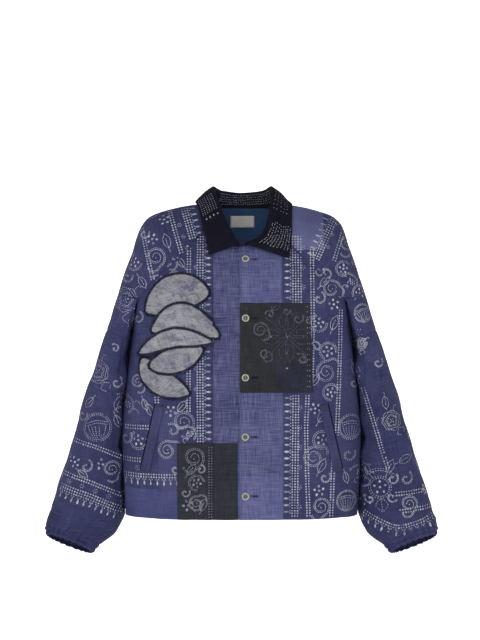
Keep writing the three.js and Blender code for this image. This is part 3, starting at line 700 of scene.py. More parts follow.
# Painted shade: this near-black cloth stands for the shadow inside openings that are not cut: the pocket
# slits, the buttonholes and the buttons' thread holes.
gap_shade_cloth = cloth_finish("painted_gap_shade", colour(16, 17, 34), colour(34, 36, 62), colour(8, 8, 18), slub=0.2)
print_white = thread_finish("pale_print", colour(224, 226, 238), colour(246, 247, 250),
                            colour(120, 124, 168), 0.6)
print_grey = thread_finish("grey_print", colour(116, 118, 136), colour(160, 162, 176), colour(60, 62, 78),
                           0.8)
print_patch = thread_finish("patch_print", colour(176, 178, 196), colour(210, 211, 222), colour(70, 72, 92),
                            0.6)
collar_thread = thread_finish("collar_thread", colour(206, 206, 216), colour(232, 232, 238),
                              colour(96, 98, 130), 0.5)
satin_thread = thread_finish("satin_navy", colour(20, 23, 50), colour(40, 46, 84), colour(12, 14, 30), 0.4)
seam_thread = thread_finish("seam_thread", colour(54, 57, 104), colour(92, 96, 146), colour(36, 38, 80), 0.6)
coal_thread = thread_finish("charcoal_thread", colour(30, 30, 38), colour(78, 80, 92), colour(22, 22, 28),
                            0.5)
moss_thread = thread_finish("bar_tack_thread", colour(74, 78, 66), colour(104, 108, 92), colour(50, 54, 46),
                            0.4)
cream_thread = thread_finish("label_thread", colour(176, 168, 156), colour(204, 198, 188),
                             colour(150, 142, 130), 0.4)

# ---- body panels ----

SPACED_AT = -330.0  # columns are spaced evenly over the cloth at this height, mm
TOP_ROWS = 39  # rows from the armpit's level to the top edge


def body_panel(x_from, x_to, side, behind, low=HEM, high=None, sinks=False, lift=0.0):
    """A panel of the front or back, as the CAD cuts it: columns widen below the armpit."""
    base = float(half_width(ARMPIT))

    def widened(x, z):
        reach = np.abs(x) if behind else np.maximum(x, 0)
        below = np.where(z < ARMPIT, (half_width(z) - base) * (reach / base) ** 3, 0)
        return np.sign(x) * np.minimum(np.abs(x) + below * np.sign(np.maximum(reach, 1e-9)), half_width(z))

    dense = np.linspace(x_from, x_to, 600)
    level = np.full_like(dense, SPACED_AT)
    shaped = widened(dense, level)
    steps = np.hypot(np.diff(shaped), np.diff(body_y(shaped, level, behind, False)))
    arc = np.concatenate([[0], np.cumsum(steps)])
    columns = np.interp(np.linspace(0, arc[-1], max(round(arc[-1] / CELL), 6) + 1), arc, dense)
    top_low = ARMPIT if high is None else high
    heights = np.linspace(low, top_low, max(round((top_low - low) / CELL), 4) + 1)[:, None]
    z = np.broadcast_to(heights, (len(heights), len(columns)))
    if high is None:
        top = top_edge(np.abs(columns) if behind else np.maximum(columns, 0), behind)
        z = np.concatenate([z, ARMPIT + (top - ARMPIT) * np.linspace(0, 1, TOP_ROWS)[1:, None]])
    x = widened(np.broadcast_to(columns, z.shape), z) * side
    y = body_y(x, z, behind)
    if sinks:
        y = y + 3 * smooth((30 - np.broadcast_to(columns, z.shape)) / 24)
    panel = Laid(np.stack([x, y, z], -1), facing(behind))
    return panel.raised(lift) if lift else panel


laid = {
    "front_left_centre": [body_panel(-4, SEAM_LEFT, 1, False)],
    "front_left_side": [body_panel(SEAM_LEFT, PANEL_END, 1, False)],
    "front_right_centre": [body_panel(-18, SEAM_RIGHT, -1, False, sinks=True)],
    "front_right_side": [body_panel(SEAM_RIGHT, PANEL_END, -1, False)],
    "back": [body_panel(-PANEL_END, PANEL_END, 1, True)],
    "chest_patch": [body_panel(-3.5, 141, 1, False, CHEST_PATCH_LOW, ARMPIT, lift=LIFT + PATCH)],
    "hem_patch_plain": [body_panel(8, SEAM_RIGHT, -1, False, HEM, HEM_PATCH_TOP, True, LIFT + PATCH)],
    "hem_patch_printed": [body_panel(SEAM_RIGHT, 127, -1, False, HEM, HEM_PATCH_TOP, lift=LIFT + PATCH)],
}

# ---- sleeves and cuffs ----

TURNS = np.linspace(0, 2, 121)
HEAD_TURNS = TURNS[:61]
SLEEVE_LONG, TURN_WIDE, HEAD_LONG = 560, 200, 230  # mm that creases count for the tube, a turn and the head
PLEATS, PLEAT_HIGH = 23, 2.3
GATHERS_FROM = 0.8  # share of the tube where the gathers begin


def pleats(around, ease):
    return np.sin(PLEATS * around + 0.9 * np.sin(3 * around) + 1.5 * ease)


def sleeve_worn(side, share, turn, head):
    """Height of creases, gathers and crumple on a sleeve."""
    v = -share * HEAD_LONG if head else share * SLEEVE_LONG
    height = np.zeros(v.shape)
    table = [(t0 * TURN_WIDE, s0 * SLEEVE_LONG, t1 * TURN_WIDE, s1 * SLEEVE_LONG, w * SLEEVE_LONG, h)
             for s0, t0, s1, t1, w, h in SLEEVE_CREASES]
    for shift in (0, -2):
        height += CREASED * drape((turn + shift) * TURN_WIDE, v + side * 7, table)
    around = turn * np.pi
    height += crumple(150 * np.sin(around) + side * 40, v + 150 * np.cos(around), 1.4)
    cross_seam = -1.2 * np.exp(-((v - SLEEVE_SEAM * SLEEVE_LONG) / 2.6) ** 2)
    gathering = smooth((share - GATHERS_FROM) / (1 - GATHERS_FROM))
    gather = gathering * (not head)
    inside = smooth((np.minimum(turn, 1 - turn)) / 0.1)
    fade = inside if head else np.maximum(smooth(share / 0.05), inside)
    height = (height + cross_seam * (not head)) * fade * (1 - 0.7 * gather)
    return height + PLEAT_HIGH * pleats(around, gathering) * gather


def sleeve_head(side):
    share, turn = np.meshgrid(np.linspace(1, 0, 47), HEAD_TURNS, indexing="ij")
    points = head_point(side, share, turn)
    plain = Laid(points, points - np.array([side * 120, 5, -170.0]))
    return plain.raised(sleeve_worn(side, share, turn, True))


def closed_tube(side, share, turn):
    """The sleeve's plain tube over a table of places, its last column lying on its first."""
    points = tube_point(side, share, turn)
    points[:, -1] = points[:, 0]
    return Laid(points, points - points[:, :-1].mean(axis=1, keepdims=True), True)


def sleeve_tube(side, start, end):
    count = max(round((end - start) * SLEEVE_LONG / CELL), 8)
    share, turn = np.meshgrid(np.linspace(start, end, count + 1), TURNS, indexing="ij")
    return closed_tube(side, share, turn).raised(sleeve_worn(side, share, turn, False))


def cuff_tube(side):
    """The elastic casing: sharp gathers, drawn in at its stitched rows."""
    turns = np.linspace(0, 2, 241)
    share, turn = np.meshgrid(np.linspace(1, CUFF_SHARE, 19), turns, indexing="ij")
    around = turn * np.pi
    along_cuff = (share - 1) / (CUFF_SHARE - 1)
    small = 0.6 * np.sin(2 * PLEATS * around + 4 * along_cuff)
    drawn = sum(np.exp(-((along_cuff - at) / 0.06) ** 2) for at in (0.04, 0.5, 0.94))
    rolled = 1.6 * np.sin(np.pi * np.clip(along_cuff * 2 % 1, 0, 1))
    pleated = PLEAT_HIGH * pleats(around, 1) * (1 - 0.25 * along_cuff)
    return closed_tube(side, share, turn).raised(pleated + small + rolled - drawn)


for side, hand in SIDES:
    laid[f"sleeve_{hand}_upper"] = [sleeve_head(side), sleeve_tube(side, 0, SLEEVE_SEAM)]
    laid[f"sleeve_{hand}_lower"] = [sleeve_tube(side, SLEEVE_SEAM, 1)]
    laid[f"cuff_{hand}"] = [cuff_tube(side)]

# ---- what lies on a panel ----


def strip_on_body(line, half, steps, across, lift):
    """A strip or leaf laid on the front along a line of (share, x, z); half and lift are functions."""
    share = np.linspace(0, 1, steps + 1)
    x, z = along(line, share)
    x1, z1 = along(line, np.minimum(share + 0.01, 1))
    x0, z0 = along(line, np.maximum(share - 0.01, 0))
    length = np.hypot(x1 - x0, z1 - z0)
    reach = np.linspace(-1, 1, across + 1) * half(share)[:, None]
    px = x[:, None] - reach * ((z1 - z0) / length)[:, None]
    pz = z[:, None] + reach * ((x1 - x0) / length)[:, None]
    flat = Laid(body_point(px, pz, False), facing(False))
    return flat.raised(lift(share[:, None], reach, px, pz))


def blade_half(wide):
    return lambda share: wide * np.maximum(np.maximum(np.sin(np.pi * share), 0) ** 0.6, 0.12)


def even_half(wide):
    return lambda share: wide + 0 * share


LEAVES = [
    # line, half width in mm, and how many leaves lie under it
    ([(0, -198, -226), (0.5, -134, -186), (1, -64, -184)], 42, 0),
    ([(0, -186, -264), (0.5, -122, -236), (1, -44, -276)], 32, 1),
    ([(0, -214, -312), (0.5, -142, -278), (1, -56, -286)], 22, 2),
    ([(0, -208, -318), (0.5, -170, -366), (1, -104, -394)], 30, 0),
    ([(0, -192, -338), (0.5, -132, -322), (1, -76, -298)], 30, 1),
]
WELT_LINE, WELT_HALF = [(0, 168, -416), (1, 199, -552)], 9


def leaf_height(layer):
    low = LIFT + 0.5 + layer * (PATCH + 0.6) + PATCH

    def height(share, reach, x, z):
        vein = -0.5 * np.exp(-(reach / 1.6) ** 2) * np.sin(np.pi * share)
        return low + 0.35 * crumple(x * 1.6, z * 1.6) + vein + 0.3

    return height


def welt_height(share, reach, x, z):
    return LIFT + 0.4 + CLOTH + 0.5 * np.cos(reach / WELT_HALF * 1.4)


for i, (line, wide, layer) in enumerate(LEAVES):
    laid[f"applique_leaf_{i + 1}"] = [strip_on_body(line, blade_half(wide), 64, 24, leaf_height(layer))]
for side, hand in SIDES:
    line = [(share, side * x, z) for share, x, z in WELT_LINE]
    laid[f"pocket_welt_{hand}"] = [strip_on_body(line, even_half(WELT_HALF), 40, 8, welt_height)]

# ---- neck ----

# Shares of the neck: where its front meets a sleeve, where its back does, and the stretch between them.
NECK_SIDE, NECK_NAPE, NECK_OVER = 0.7, 0.28, 0.42

def inside_back(x_from, x_to, z_from, z_to, depth, columns, rows):
    """Cloth inside the back, between two heights given as functions of x."""
    x = np.linspace(x_from, x_to, columns + 1)
    low, high = z_from(x), z_to(x)
    z = low + (high - low) * np.linspace(0, 1, rows + 1)[:, None]
    x = np.broadcast_to(x, z.shape)
    return Laid(body_point(x, z, True, False), facing(True)).raised(-depth)


def back_top(x):
    return top_edge(x, True)


def facing_low(x):
    return back_top(x) - 0.6 * (back_top(x) - ARMPIT)


def level(z):
    return lambda x: x * 0 + z


laid["neck_facing"] = [inside_back(-68, 68, facing_low, back_top, CLOTH + 0.3, 34, 30)]
laid["neck_label"] = [inside_back(-24, 28, level(-37), level(-12), 4.9, 16, 9)]


def neck_point(share):
    """The neck's edge: share 0 is its middle behind, and -1 and 1 are its ends in front."""
    side = 1 if share >= 0 else -1
    reach = abs(share)
    if reach >= NECK_SIDE:
        x = mix(NECK_X, 4, (reach - NECK_SIDE) / (1 - NECK_SIDE))
        point = body_point(x, top_edge(x, False), False, False)
    elif reach >= NECK_NAPE:
        return head_point(side, 1, (NECK_SIDE - reach) / NECK_OVER)
    else:
        x = NECK_X_BACK * reach / NECK_NAPE
        point = body_point(x, top_edge(x, True), True, False)
    return point * (side, 1, 1)


def shoulder_places():
    """Points on the outside round the neck, with outward normals, for the collar to rest on."""
    places, normals = [], []
    for key in ("front_left_centre", "front_right_centre", "front_left_side", "front_right_side", "back",
                "sleeve_left_upper", "sleeve_right_upper"):
        piece = laid[key][0]
        near = (piece.points[..., 2] > -150) & (np.abs(piece.points[..., 0]) < 190)
        places.append(piece.points[near])
        normals.append(piece.normals[near])
    return np.concatenate(places), np.concatenate(normals)


def unit(v):
    return v / np.linalg.norm(v, axis=-1, keepdims=True)


COLLAR_ROWS, FOLD_ROW = 37, 16  # rows from foot to edge, and the fold's own row


def make_collar():
    """The folded collar: up from its foot inside the neck, over the fold, and down on the shoulders."""
    places, normals = shoulder_places()
    tree = tree_of(places)

    def rest_on(point):
        i = tree.find(point)[1]
        height = (point - places[i]) @ normals[i]
        return point + normals[i] * max(CLOTH + 3 - height, 0)

    controls = []
    for share in np.linspace(-1, 1, 131):
        row = along(COLLAR, share)
        fold, edge = row[:3], row[3:]
        ahead = along(COLLAR, share + 0.01)[:3] - along(COLLAR, share - 0.01)[:3]
        neck = neck_point(share)
        foot = neck + 3.4 * unit(-neck * (1, 1, 0)) - (0, 0, 2.5)
        up = unit(fold - (foot + edge) / 2)
        out = unit(np.cross(up, ahead))
        inner, outer = fold - 3 * up - 3 * out, fold - 3 * up + 3 * out
        controls.append([foot, (foot + inner) / 2 - out, inner, fold, outer,
                         rest_on(mix(outer, edge, 0.35) + 2 * out),
                         rest_on(mix(outer, edge, 0.7) + 1.5 * out),
                         rest_on(edge)])
    controls = np.array(controls)
    places_down = [0, 18, 36, 40, 44, 60, 76, 90]
    weights = along([(at, *row) for at, row in zip(places_down, np.eye(8))], np.linspace(0, 90, COLLAR_ROWS))
    points = np.einsum("kr,ckx->rcx", weights, controls)
    sign = np.where(np.arange(COLLAR_ROWS) > FOLD_ROW, 1, -1)[:, None, None]
    plain = Laid(points, unit(points * (1, 1, 0)) * sign)
    worn = 0.5 * crumple(plain.across * 0.9, plain.down * 1.3)
    return plain.raised(worn * smooth(plain.seam_distance() / 12))


laid["collar"] = [make_collar()]

# ---- the pieces of cloth ----

PIECES = {
    # name: (finish, slot, wall)
    "front_left_centre": (slub_cloth, "slub_blue", CLOTH),
    "front_left_side": (printed_cloth, "printed_indigo", CLOTH),
    "front_right_centre": (slub_cloth, "slub_blue", CLOTH),
    "front_right_side": (printed_cloth, "printed_indigo", CLOTH),
    "back": (back_cloth, "printed_indigo", CLOTH),
    "sleeve_left_upper": (sleeve_left_cloth, "printed_indigo", CLOTH),
    "sleeve_left_lower": (sleeve_left_cloth, "printed_indigo", CLOTH),
    "sleeve_right_upper": (sleeve_right_cloth, "printed_indigo", CLOTH),
    "sleeve_right_lower": (sleeve_right_cloth, "printed_indigo", CLOTH),
    "cuff_left": (cuff_cloth, "cuff_indigo", CLOTH),
    "cuff_right": (cuff_cloth, "cuff_indigo", CLOTH),
    "chest_patch": (chest_cloth, "charcoal", PATCH),
    "hem_patch_plain": (coal_cloth, "charcoal", PATCH),
    "hem_patch_printed": (coal_cloth, "charcoal", PATCH),
    **{f"applique_leaf_{i}": (linen_cloth, "grey_linen", PATCH) for i in range(1, 6)},
    "pocket_welt_left": (printed_cloth, "printed_indigo", CLOTH),
    "pocket_welt_right": (printed_cloth, "printed_indigo", CLOTH),
    "neck_facing": (facing_cloth, "facing_blue", PATCH),
    "neck_label": (label_cloth, "cream_label", 0.6),
    "collar": (collar_cloth, "collar_navy", CLOTH),
}
cloth = {name: lay_cloth(f"{name}_cloth", laid[name], finish, wall, [name])
         for name, (finish, slot, wall) in PIECES.items()}

# ---- printed dots and stitches: each is a small lens of bmesh, stamped where its mark lies ----

rng = np.random.default_rng(11)


def marks(x, z, angle, length, width):
    """Rows of x, z, angle, length and width, one to a mark."""
    table = np.broadcast_arrays(x, z, angle, length, width)
    return np.column_stack([np.ravel(column).astype(float) for column in table])


def curve(points, pitch):
    """Evenly spaced places on a smooth line through the points: x, z and heading."""
    points = np.asarray(points, float)
    steps = np.hypot(*np.diff(points, axis=0).T)
    at = np.concatenate([[0], np.cumsum(steps)])
    dense = np.linspace(0, at[-1], max(int(at[-1] / 0.8), 8))
    x, z = along(np.column_stack([at, points]), dense) if len(points) > 2 else (
        np.interp(dense, at, points[:, 0]), np.interp(dense, at, points[:, 1]))
    arc = np.concatenate([[0], np.cumsum(np.hypot(np.diff(x), np.diff(z)))])
    where = np.arange(pitch / 2, arc[-1], pitch)
    heading = np.arctan2(np.gradient(z), np.gradient(x))
    return (np.interp(where, arc, x), np.interp(where, arc, z), np.interp(where, arc, np.unwrap(heading)))


def beside(line, offset):
    x, z, heading = line
    return x - np.sin(heading) * offset, z + np.cos(heading) * offset, heading


def dots(points, offset=0.0, pitch=5.5, size=4.3):
    x, z, heading = beside(curve(points, pitch), offset)
    return marks(x, z, heading, size, size * 0.92)


def dashes(points, offset=0.0, pitch=4.3, long=3.9, wide=1.8):
    x, z, heading = beside(curve(points, pitch), offset)
    return marks(x, z, heading, long, wide)


def two_dots(points, gap=6.0, size=4.3):
    return np.concatenate([dots(points, -gap / 2, size=size), dots(points, gap / 2, size=size)])


def two_lines(points, gap=3.2, **sizes):
    return np.concatenate([dashes(points, -gap / 2, **sizes), dashes(points, gap / 2, **sizes)])


def dot_rows(points, count, step=5.6):
    return np.concatenate([dots(points, step * i) for i in range(count)])


def teeth(points, side=1, rows=3, pitch=13.8, long=10.5):
    """A border of dot rows with a row of pointed drops along one side of it."""
    made = [dot_rows(points, rows, -side * 5.6)]
    line = curve(points, pitch)
    for offset, shift, size in ((4.6, -2.8, 3.0), (4.6, 2.8, 3.0), (7.0, 0, 3.0)):
        x, z, heading = beside(line, side * offset)
        made.append(marks(x + shift * np.cos(heading), z + shift * np.sin(heading), heading, size, size))
    x, z, heading = beside(line, side * 12.6)
    made.append(marks(x, z, heading + math.pi / 2, long, 4.8))
    return np.concatenate(made)


def moved(shape, x, z, turn=0.0, size=1.0, flip=False):
    """A motif drawn round the origin, set at a place."""
    shape = shape.copy()
    if flip:
        shape[:, 0] *= -1
        shape[:, 2] = math.pi - shape[:, 2]
    cos, sin = math.cos(turn), math.sin(turn)
    px, pz = shape[:, 0] * size, shape[:, 1] * size
    shape[:, 0], shape[:, 1] = x + px * cos - pz * sin, z + px * sin + pz * cos
    shape[:, 2] += turn
    return shape


def polar(reach, angle):
    return np.column_stack([reach * np.cos(angle), reach * np.sin(angle)])


def ring(radius, start=0.0, end=2 * math.pi, wave=0.0, lobes=5):
    angle = np.linspace(start, end, 40)
    return polar(radius * (1 + wave * np.cos(lobes * angle)), angle)


def spiral(start, growth, end):
    angle = np.linspace(0, end, 50)
    return polar(start + growth * angle, angle)


def petals(radius=9.4, size=6.6, count=5, turn=0.3):
    angle = turn + np.arange(count) * 2 * math.pi / count
    outer = marks(radius * np.cos(angle), radius * np.sin(angle), angle, size, size * 0.86)
    return np.concatenate([outer, marks(0, 0, 0, size * 0.9, size * 0.8)])


SPRIG = petals(3.4, 2.3, 6, 0.2)
FLOWER = petals()
RINGED = np.concatenate([FLOWER, two_lines(ring(18, -0.6, 3.9), 3.4)])
COIL = two_lines(spiral(2, 2.3, 6.6), 2.8)
LEAF = np.concatenate([
    dashes([(0, 0), (10, 7), (24, 8), (36, 0)]), dashes([(0, 0), (10, -7), (24, -8), (36, 0)]),
    dashes([(2, 0), (14, 1), (26, 0)], pitch=4.8), dashes([(-10, 0), (0, 0)])])
PAISLEY = np.concatenate([
    two_lines([(2, -22), (14, -16), (21, -2), (17, 14), (4, 21), (-10, 17), (-15, 4), (-8, -8), (4, -10)],
              3.4),
    dashes([(4, -12), (11, -4), (10, 7), (1, 11), (-6, 5)]), dots([(-2, -2), (3, 3)], size=3.0),
    two_lines([(2, -22), (-10, -28), (-22, -24), (-26, -14)], 3.0)])
ROSETTE = np.concatenate([
    dashes(ring(24, wave=0.05, lobes=7)), dashes(ring(20, wave=0.07, lobes=5)),
    two_lines(ring(13, wave=0.12), 3.0),
    petals(5, 3.6, 4), dashes([(16, 16), (26, 26), (34, 22)]), dashes([(-16, 18), (-26, 26), (-32, 20)]),
    dashes([(4, -25), (16, -34), (10, -44)]), dashes([(6, -25), (-6, -36), (2, -46)])])
BASKET = np.concatenate(
    [two_lines(ring(26), 3.2), dashes([(-20, 4), (0, 8), (20, 4)]), dashes([(-20, 9), (0, 13), (20, 9)])]
    + [dashes([(x, 3), (x * 0.8, -9), (x * 0.45, -22)], long=3.2) for x in (-18, -11, -4, 4, 11, 18)])
BOUQUET = np.concatenate([
    two_lines([(-24, 26), (-4, 24), (12, 10), (12, -8), (0, -18)], 3.4), petals(6, 4.2, 6),
    dashes([(14, 4), (24, 8), (30, 2)]), dashes([(12, -8), (22, -14), (26, -24)]), dots([(-14, 0), (-4, 10)]),
    moved(SPRIG, -16, -8), dashes(ring(7, 0, 4)) + np.array([-22, -10, 0, 0, 0])])
CREST = np.concatenate(
    [two_lines(ring(30, 0.5, 2.64), 3.6), two_lines(ring(17), 3.2), FLOWER, dashes([(0, -18), (0, -40)]),
     dashes([(0, -42), (-10, -30), (0, -20), (10, -30), (0, -42)])]
    + [moved(COIL, 22 * s, 12, 0.6, 0.62, s < 0) for s in (-1, 1)]
    + [moved(COIL, 18 * s, -18, -0.8, 0.55, s < 0) for s in (-1, 1)]
    + [moved(LEAF, 14 * s, 22, math.pi / 2 - 0.5 * s, 0.7) for s in (-1, 1)])
PETAL_RAY = np.concatenate([
    dashes([(6, 0), (24, 1), (44, 0)], 1.6, long=3.8, wide=1.1),
    dashes([(6, 0), (24, -1), (44, 0)], -1.6, wide=1.1),
    dashes([(12, 4), (26, 15), (44, 12), (56, 0)], wide=1.1),
    dashes([(12, -4), (26, -15), (44, -12), (56, 0)], wide=1.1),
    dots([(18, 7), (26, 7)], size=2.8), marks(34, 0, 0, 5.0, 3.4)])
CURLED_RAY = np.concatenate([
    dashes([(8, 0), (30, 0), (58, 3)], wide=1.1), moved(COIL, 56, -8, 0.4, 0.6),
    dots([(16, 5), (22, 8)], size=2.4)])
STAR = np.concatenate([moved(PETAL_RAY, 0, 0, k * math.pi / 2) for k in range(4)]
                      + [moved(CURLED_RAY, 0, 0, (k + 0.5) * math.pi / 2) for k in range(4)]
                      + [petals(4.4, 3.0, 4)])


def every(shape, line, pitch, **how):
    x, z, heading = curve(line, pitch)
    return np.concatenate([moved(shape, a, b, h, **how) for a, b, h in zip(x, z, heading)])


def garland(places):
    """Motifs set at their own places: shape, x, z, turn, size and whether it is flipped."""
    return np.concatenate([moved(shape, x, z, *rest) for shape, x, z, *rest in places])


def make_lens(sides):
    bm = bmesh.new()
    bmesh.ops.create_uvsphere(bm, u_segments=sides, v_segments=2, radius=0.5)
    bmesh.ops.recalc_face_normals(bm, faces=bm.faces)
    verts = np.array([v.co for v in bm.verts])
    faces = np.array([[v.index for v in f.verts] for f in bm.faces])
    bm.free()
    return verts, faces


FINE, ROUND = 6, 10  # sides of the lens of a narrow mark, and of a wide one
LENSES = {sides: make_lens(sides) for sides in (FINE, ROUND)}
WIDE_MARK = 4.0  # mm; marks as wide as this take the rounder lens
BARE_EDGE = 1.6  # mm along the edge of cloth that prints keep off
WEAR_POWER, UNEVEN = 1.6, 0.16  # higher leaves fewer marks worn; spread of the marks' sizes


def on_cloth(drawn, sheets, behind=False):
    """Where marks drawn flat, from before or behind, lie on the cloth: place, normal, heading, size."""
    found = []
    for piece in sheets:
        r, c, inside = piece.find(drawn[:, 0], drawn[:, 1], behind)
        seam = piece.sample(piece.seam_distance()[..., None], r, c)[:, 0]
        kept = inside & (seam > BARE_EDGE)
        here, r, c = drawn[kept], r[kept], c[kept]
        normal = unit(piece.sample(piece.normals, r, c))
        heading = np.column_stack([np.cos(here[:, 2]), np.zeros(len(here)), np.sin(here[:, 2])])
        found.append((piece.sample(piece.points, r, c), normal, heading, here[:, 3:]))
        drawn = drawn[~kept]
    return [np.concatenate(parts) for parts in zip(*found)]


def stamp(name, placed, material, height=0.32):
    """One mesh of all the marks: every mark is a lens lying in the cloth's surface."""
    place, normal, heading, size = placed
    heading = unit(heading - normal * (heading * normal).sum(-1, keepdims=True))
    aside = np.cross(normal, heading)
    wear = rng.random(len(place)) ** WEAR_POWER
    size = size * (1 + UNEVEN * (rng.random(size.shape) - 0.5))
    points, faces, worn, start = [], [], [], 0
    for sides, chosen in ((FINE, size[:, 1] < WIDE_MARK), (ROUND, size[:, 1] >= WIDE_MARK)):
        verts, polygons = LENSES[sides]
        count = int(chosen.sum())
        if not count:
            continue
        spot = (place[chosen, None] + heading[chosen, None] * verts[None, :, :1] * size[chosen, :1, None]
                + aside[chosen, None] * verts[None, :, 1:2] * size[chosen, 1:2, None]
                + normal[chosen, None] * verts[None, :, 2:] * 2 * height)
        points.append(spot.reshape(-1, 3))
        shift = np.arange(count)[:, None, None] * len(verts) + start
        faces.append((polygons[None] + shift).reshape(-1, 3))
        worn.append(np.repeat(wear[chosen], len(verts)))
        start += count * len(verts)
    mesh = bpy.data.meshes.new(name)
    mesh.from_pydata(np.concatenate(points) * MM, [], np.concatenate(faces))
    worn_each = mesh.attributes.new("wear", "FLOAT", "POINT").data
    worn_each.foreach_set("value", np.concatenate(worn).astype(np.float32))
    stand_piece(name, mesh, material)


def sheets_of(*names):
    return [piece for name in names for piece in laid[name]]


# ---- the front's prints; x and z in mm as seen from the front ----

right_front = np.concatenate([
    teeth([(-80, -64), (-80, -278), (-79, -492)], 1),
    two_dots([(-109, -84), (-109, -430)]),
    teeth([(-116, -2), (-96, -70)], 1), two_dots([(-152, -8), (-124, -104)]),
    two_dots([(-210, -46), (-184, -156)]),
    every(SPRIG, [(-134, -30), (-106, -110)], 26), every(SPRIG, [(-94, -110), (-94, -420)], 42),
    garland([
        (FLOWER, -162, -30, 0.3), (FLOWER, -186, -72, 0.9), (PAISLEY, -178, -112, 0.4, 0.9),
        (COIL, -146, -128, 1.2, 0.9), (LEAF, -150, -92, 1.9, 0.9), (LEAF, -200, -24, 0.5, 0.8),
        (COIL, -204, -60, 0.2, 0.7), (PAISLEY, -136, -166, 2.6, 0.8, True), (LEAF, -118, -132, 2.2, 0.7),
        (COIL, -172, -160, 2.4, 0.8), (ROSETTE, -242, -198, 0.0, 1.05), (RINGED, -224, -120, 2.2, 0.9),
        (COIL, -240, -150, 0, 0.8), (LEAF, -214, -150, -1.0, 0.8), (COIL, -216, -236, 1.0, 0.8),
        (LEAF, -226, -232, -1.9, 0.7), (ROSETTE, -303, -349, 0.4, 1.0), (COIL, -262, -372, 0.8, 0.8),
        (LEAF, -252, -400, -2.0, 0.9), (LEAF, -312, -404, -2.3, 0.8), (BASKET, -303, -466, 0.1, 1.08),
        (COIL, -338, -442, 0.2, 0.8), (LEAF, -266, -440, -1.2, 0.8), (BOUQUET, -238, -418, 0.1, 0.9),
        (LEAF, -205, -404, -1.2, 0.7), (PAISLEY, -214, -370, 1.0, 0.7), (SPRIG, -225, -372, 0, 1.4),
        (RINGED, -214, -490, 2.6, 1.0), (COIL, -242, -486, 0.6, 0.9), (FLOWER, -146, -428, 0.6),
        (PAISLEY, -118, -452, 0.9, 0.95), (COIL, -142, -468, 2.0, 0.9), (BOUQUET, -104, -474, 0.5, 0.75),
        (PAISLEY, -152, -508, 2.6, 0.85), (COIL, -136, -548, 0.4, 0.7), (LEAF, -132, -430, 0.9, 0.8),
        (SPRIG, -216, -548, 0, 1.3), (LEAF, -184, -440, 2.0, 0.8), (FLOWER, -352, -540, 0.2),
        (FLOWER, -300, -542, 0.7), (COIL, -326, -548, 1.0, 0.85), (PAISLEY, -272, -556, 0.7, 0.8),
        (LEAF, -344, -556, -0.6, 0.7), (COIL, -264, -300, 2.0, 0.6)]),
    two_dots([(-176, -370), (-174, -452)]), two_dots([(-174, -463), (-248, -463)], 6),
    two_dots([(-197, -531), (-250, -531)], 6),
    teeth([(-250, -565), (-190, -566), (-130, -565)], -1, 2),
    two_dots([(-362, -492), (-306, -508), (-250, -532)]),
    two_dots([(-380, -562), (-316, -582), (-250, -612)]),
    every(SPRIG, [(-378, -576), (-316, -596), (-252, -624)], 30, size=1.2),
    teeth([(-386, -596), (-318, -618), (-252, -648)], -1, 3),
])
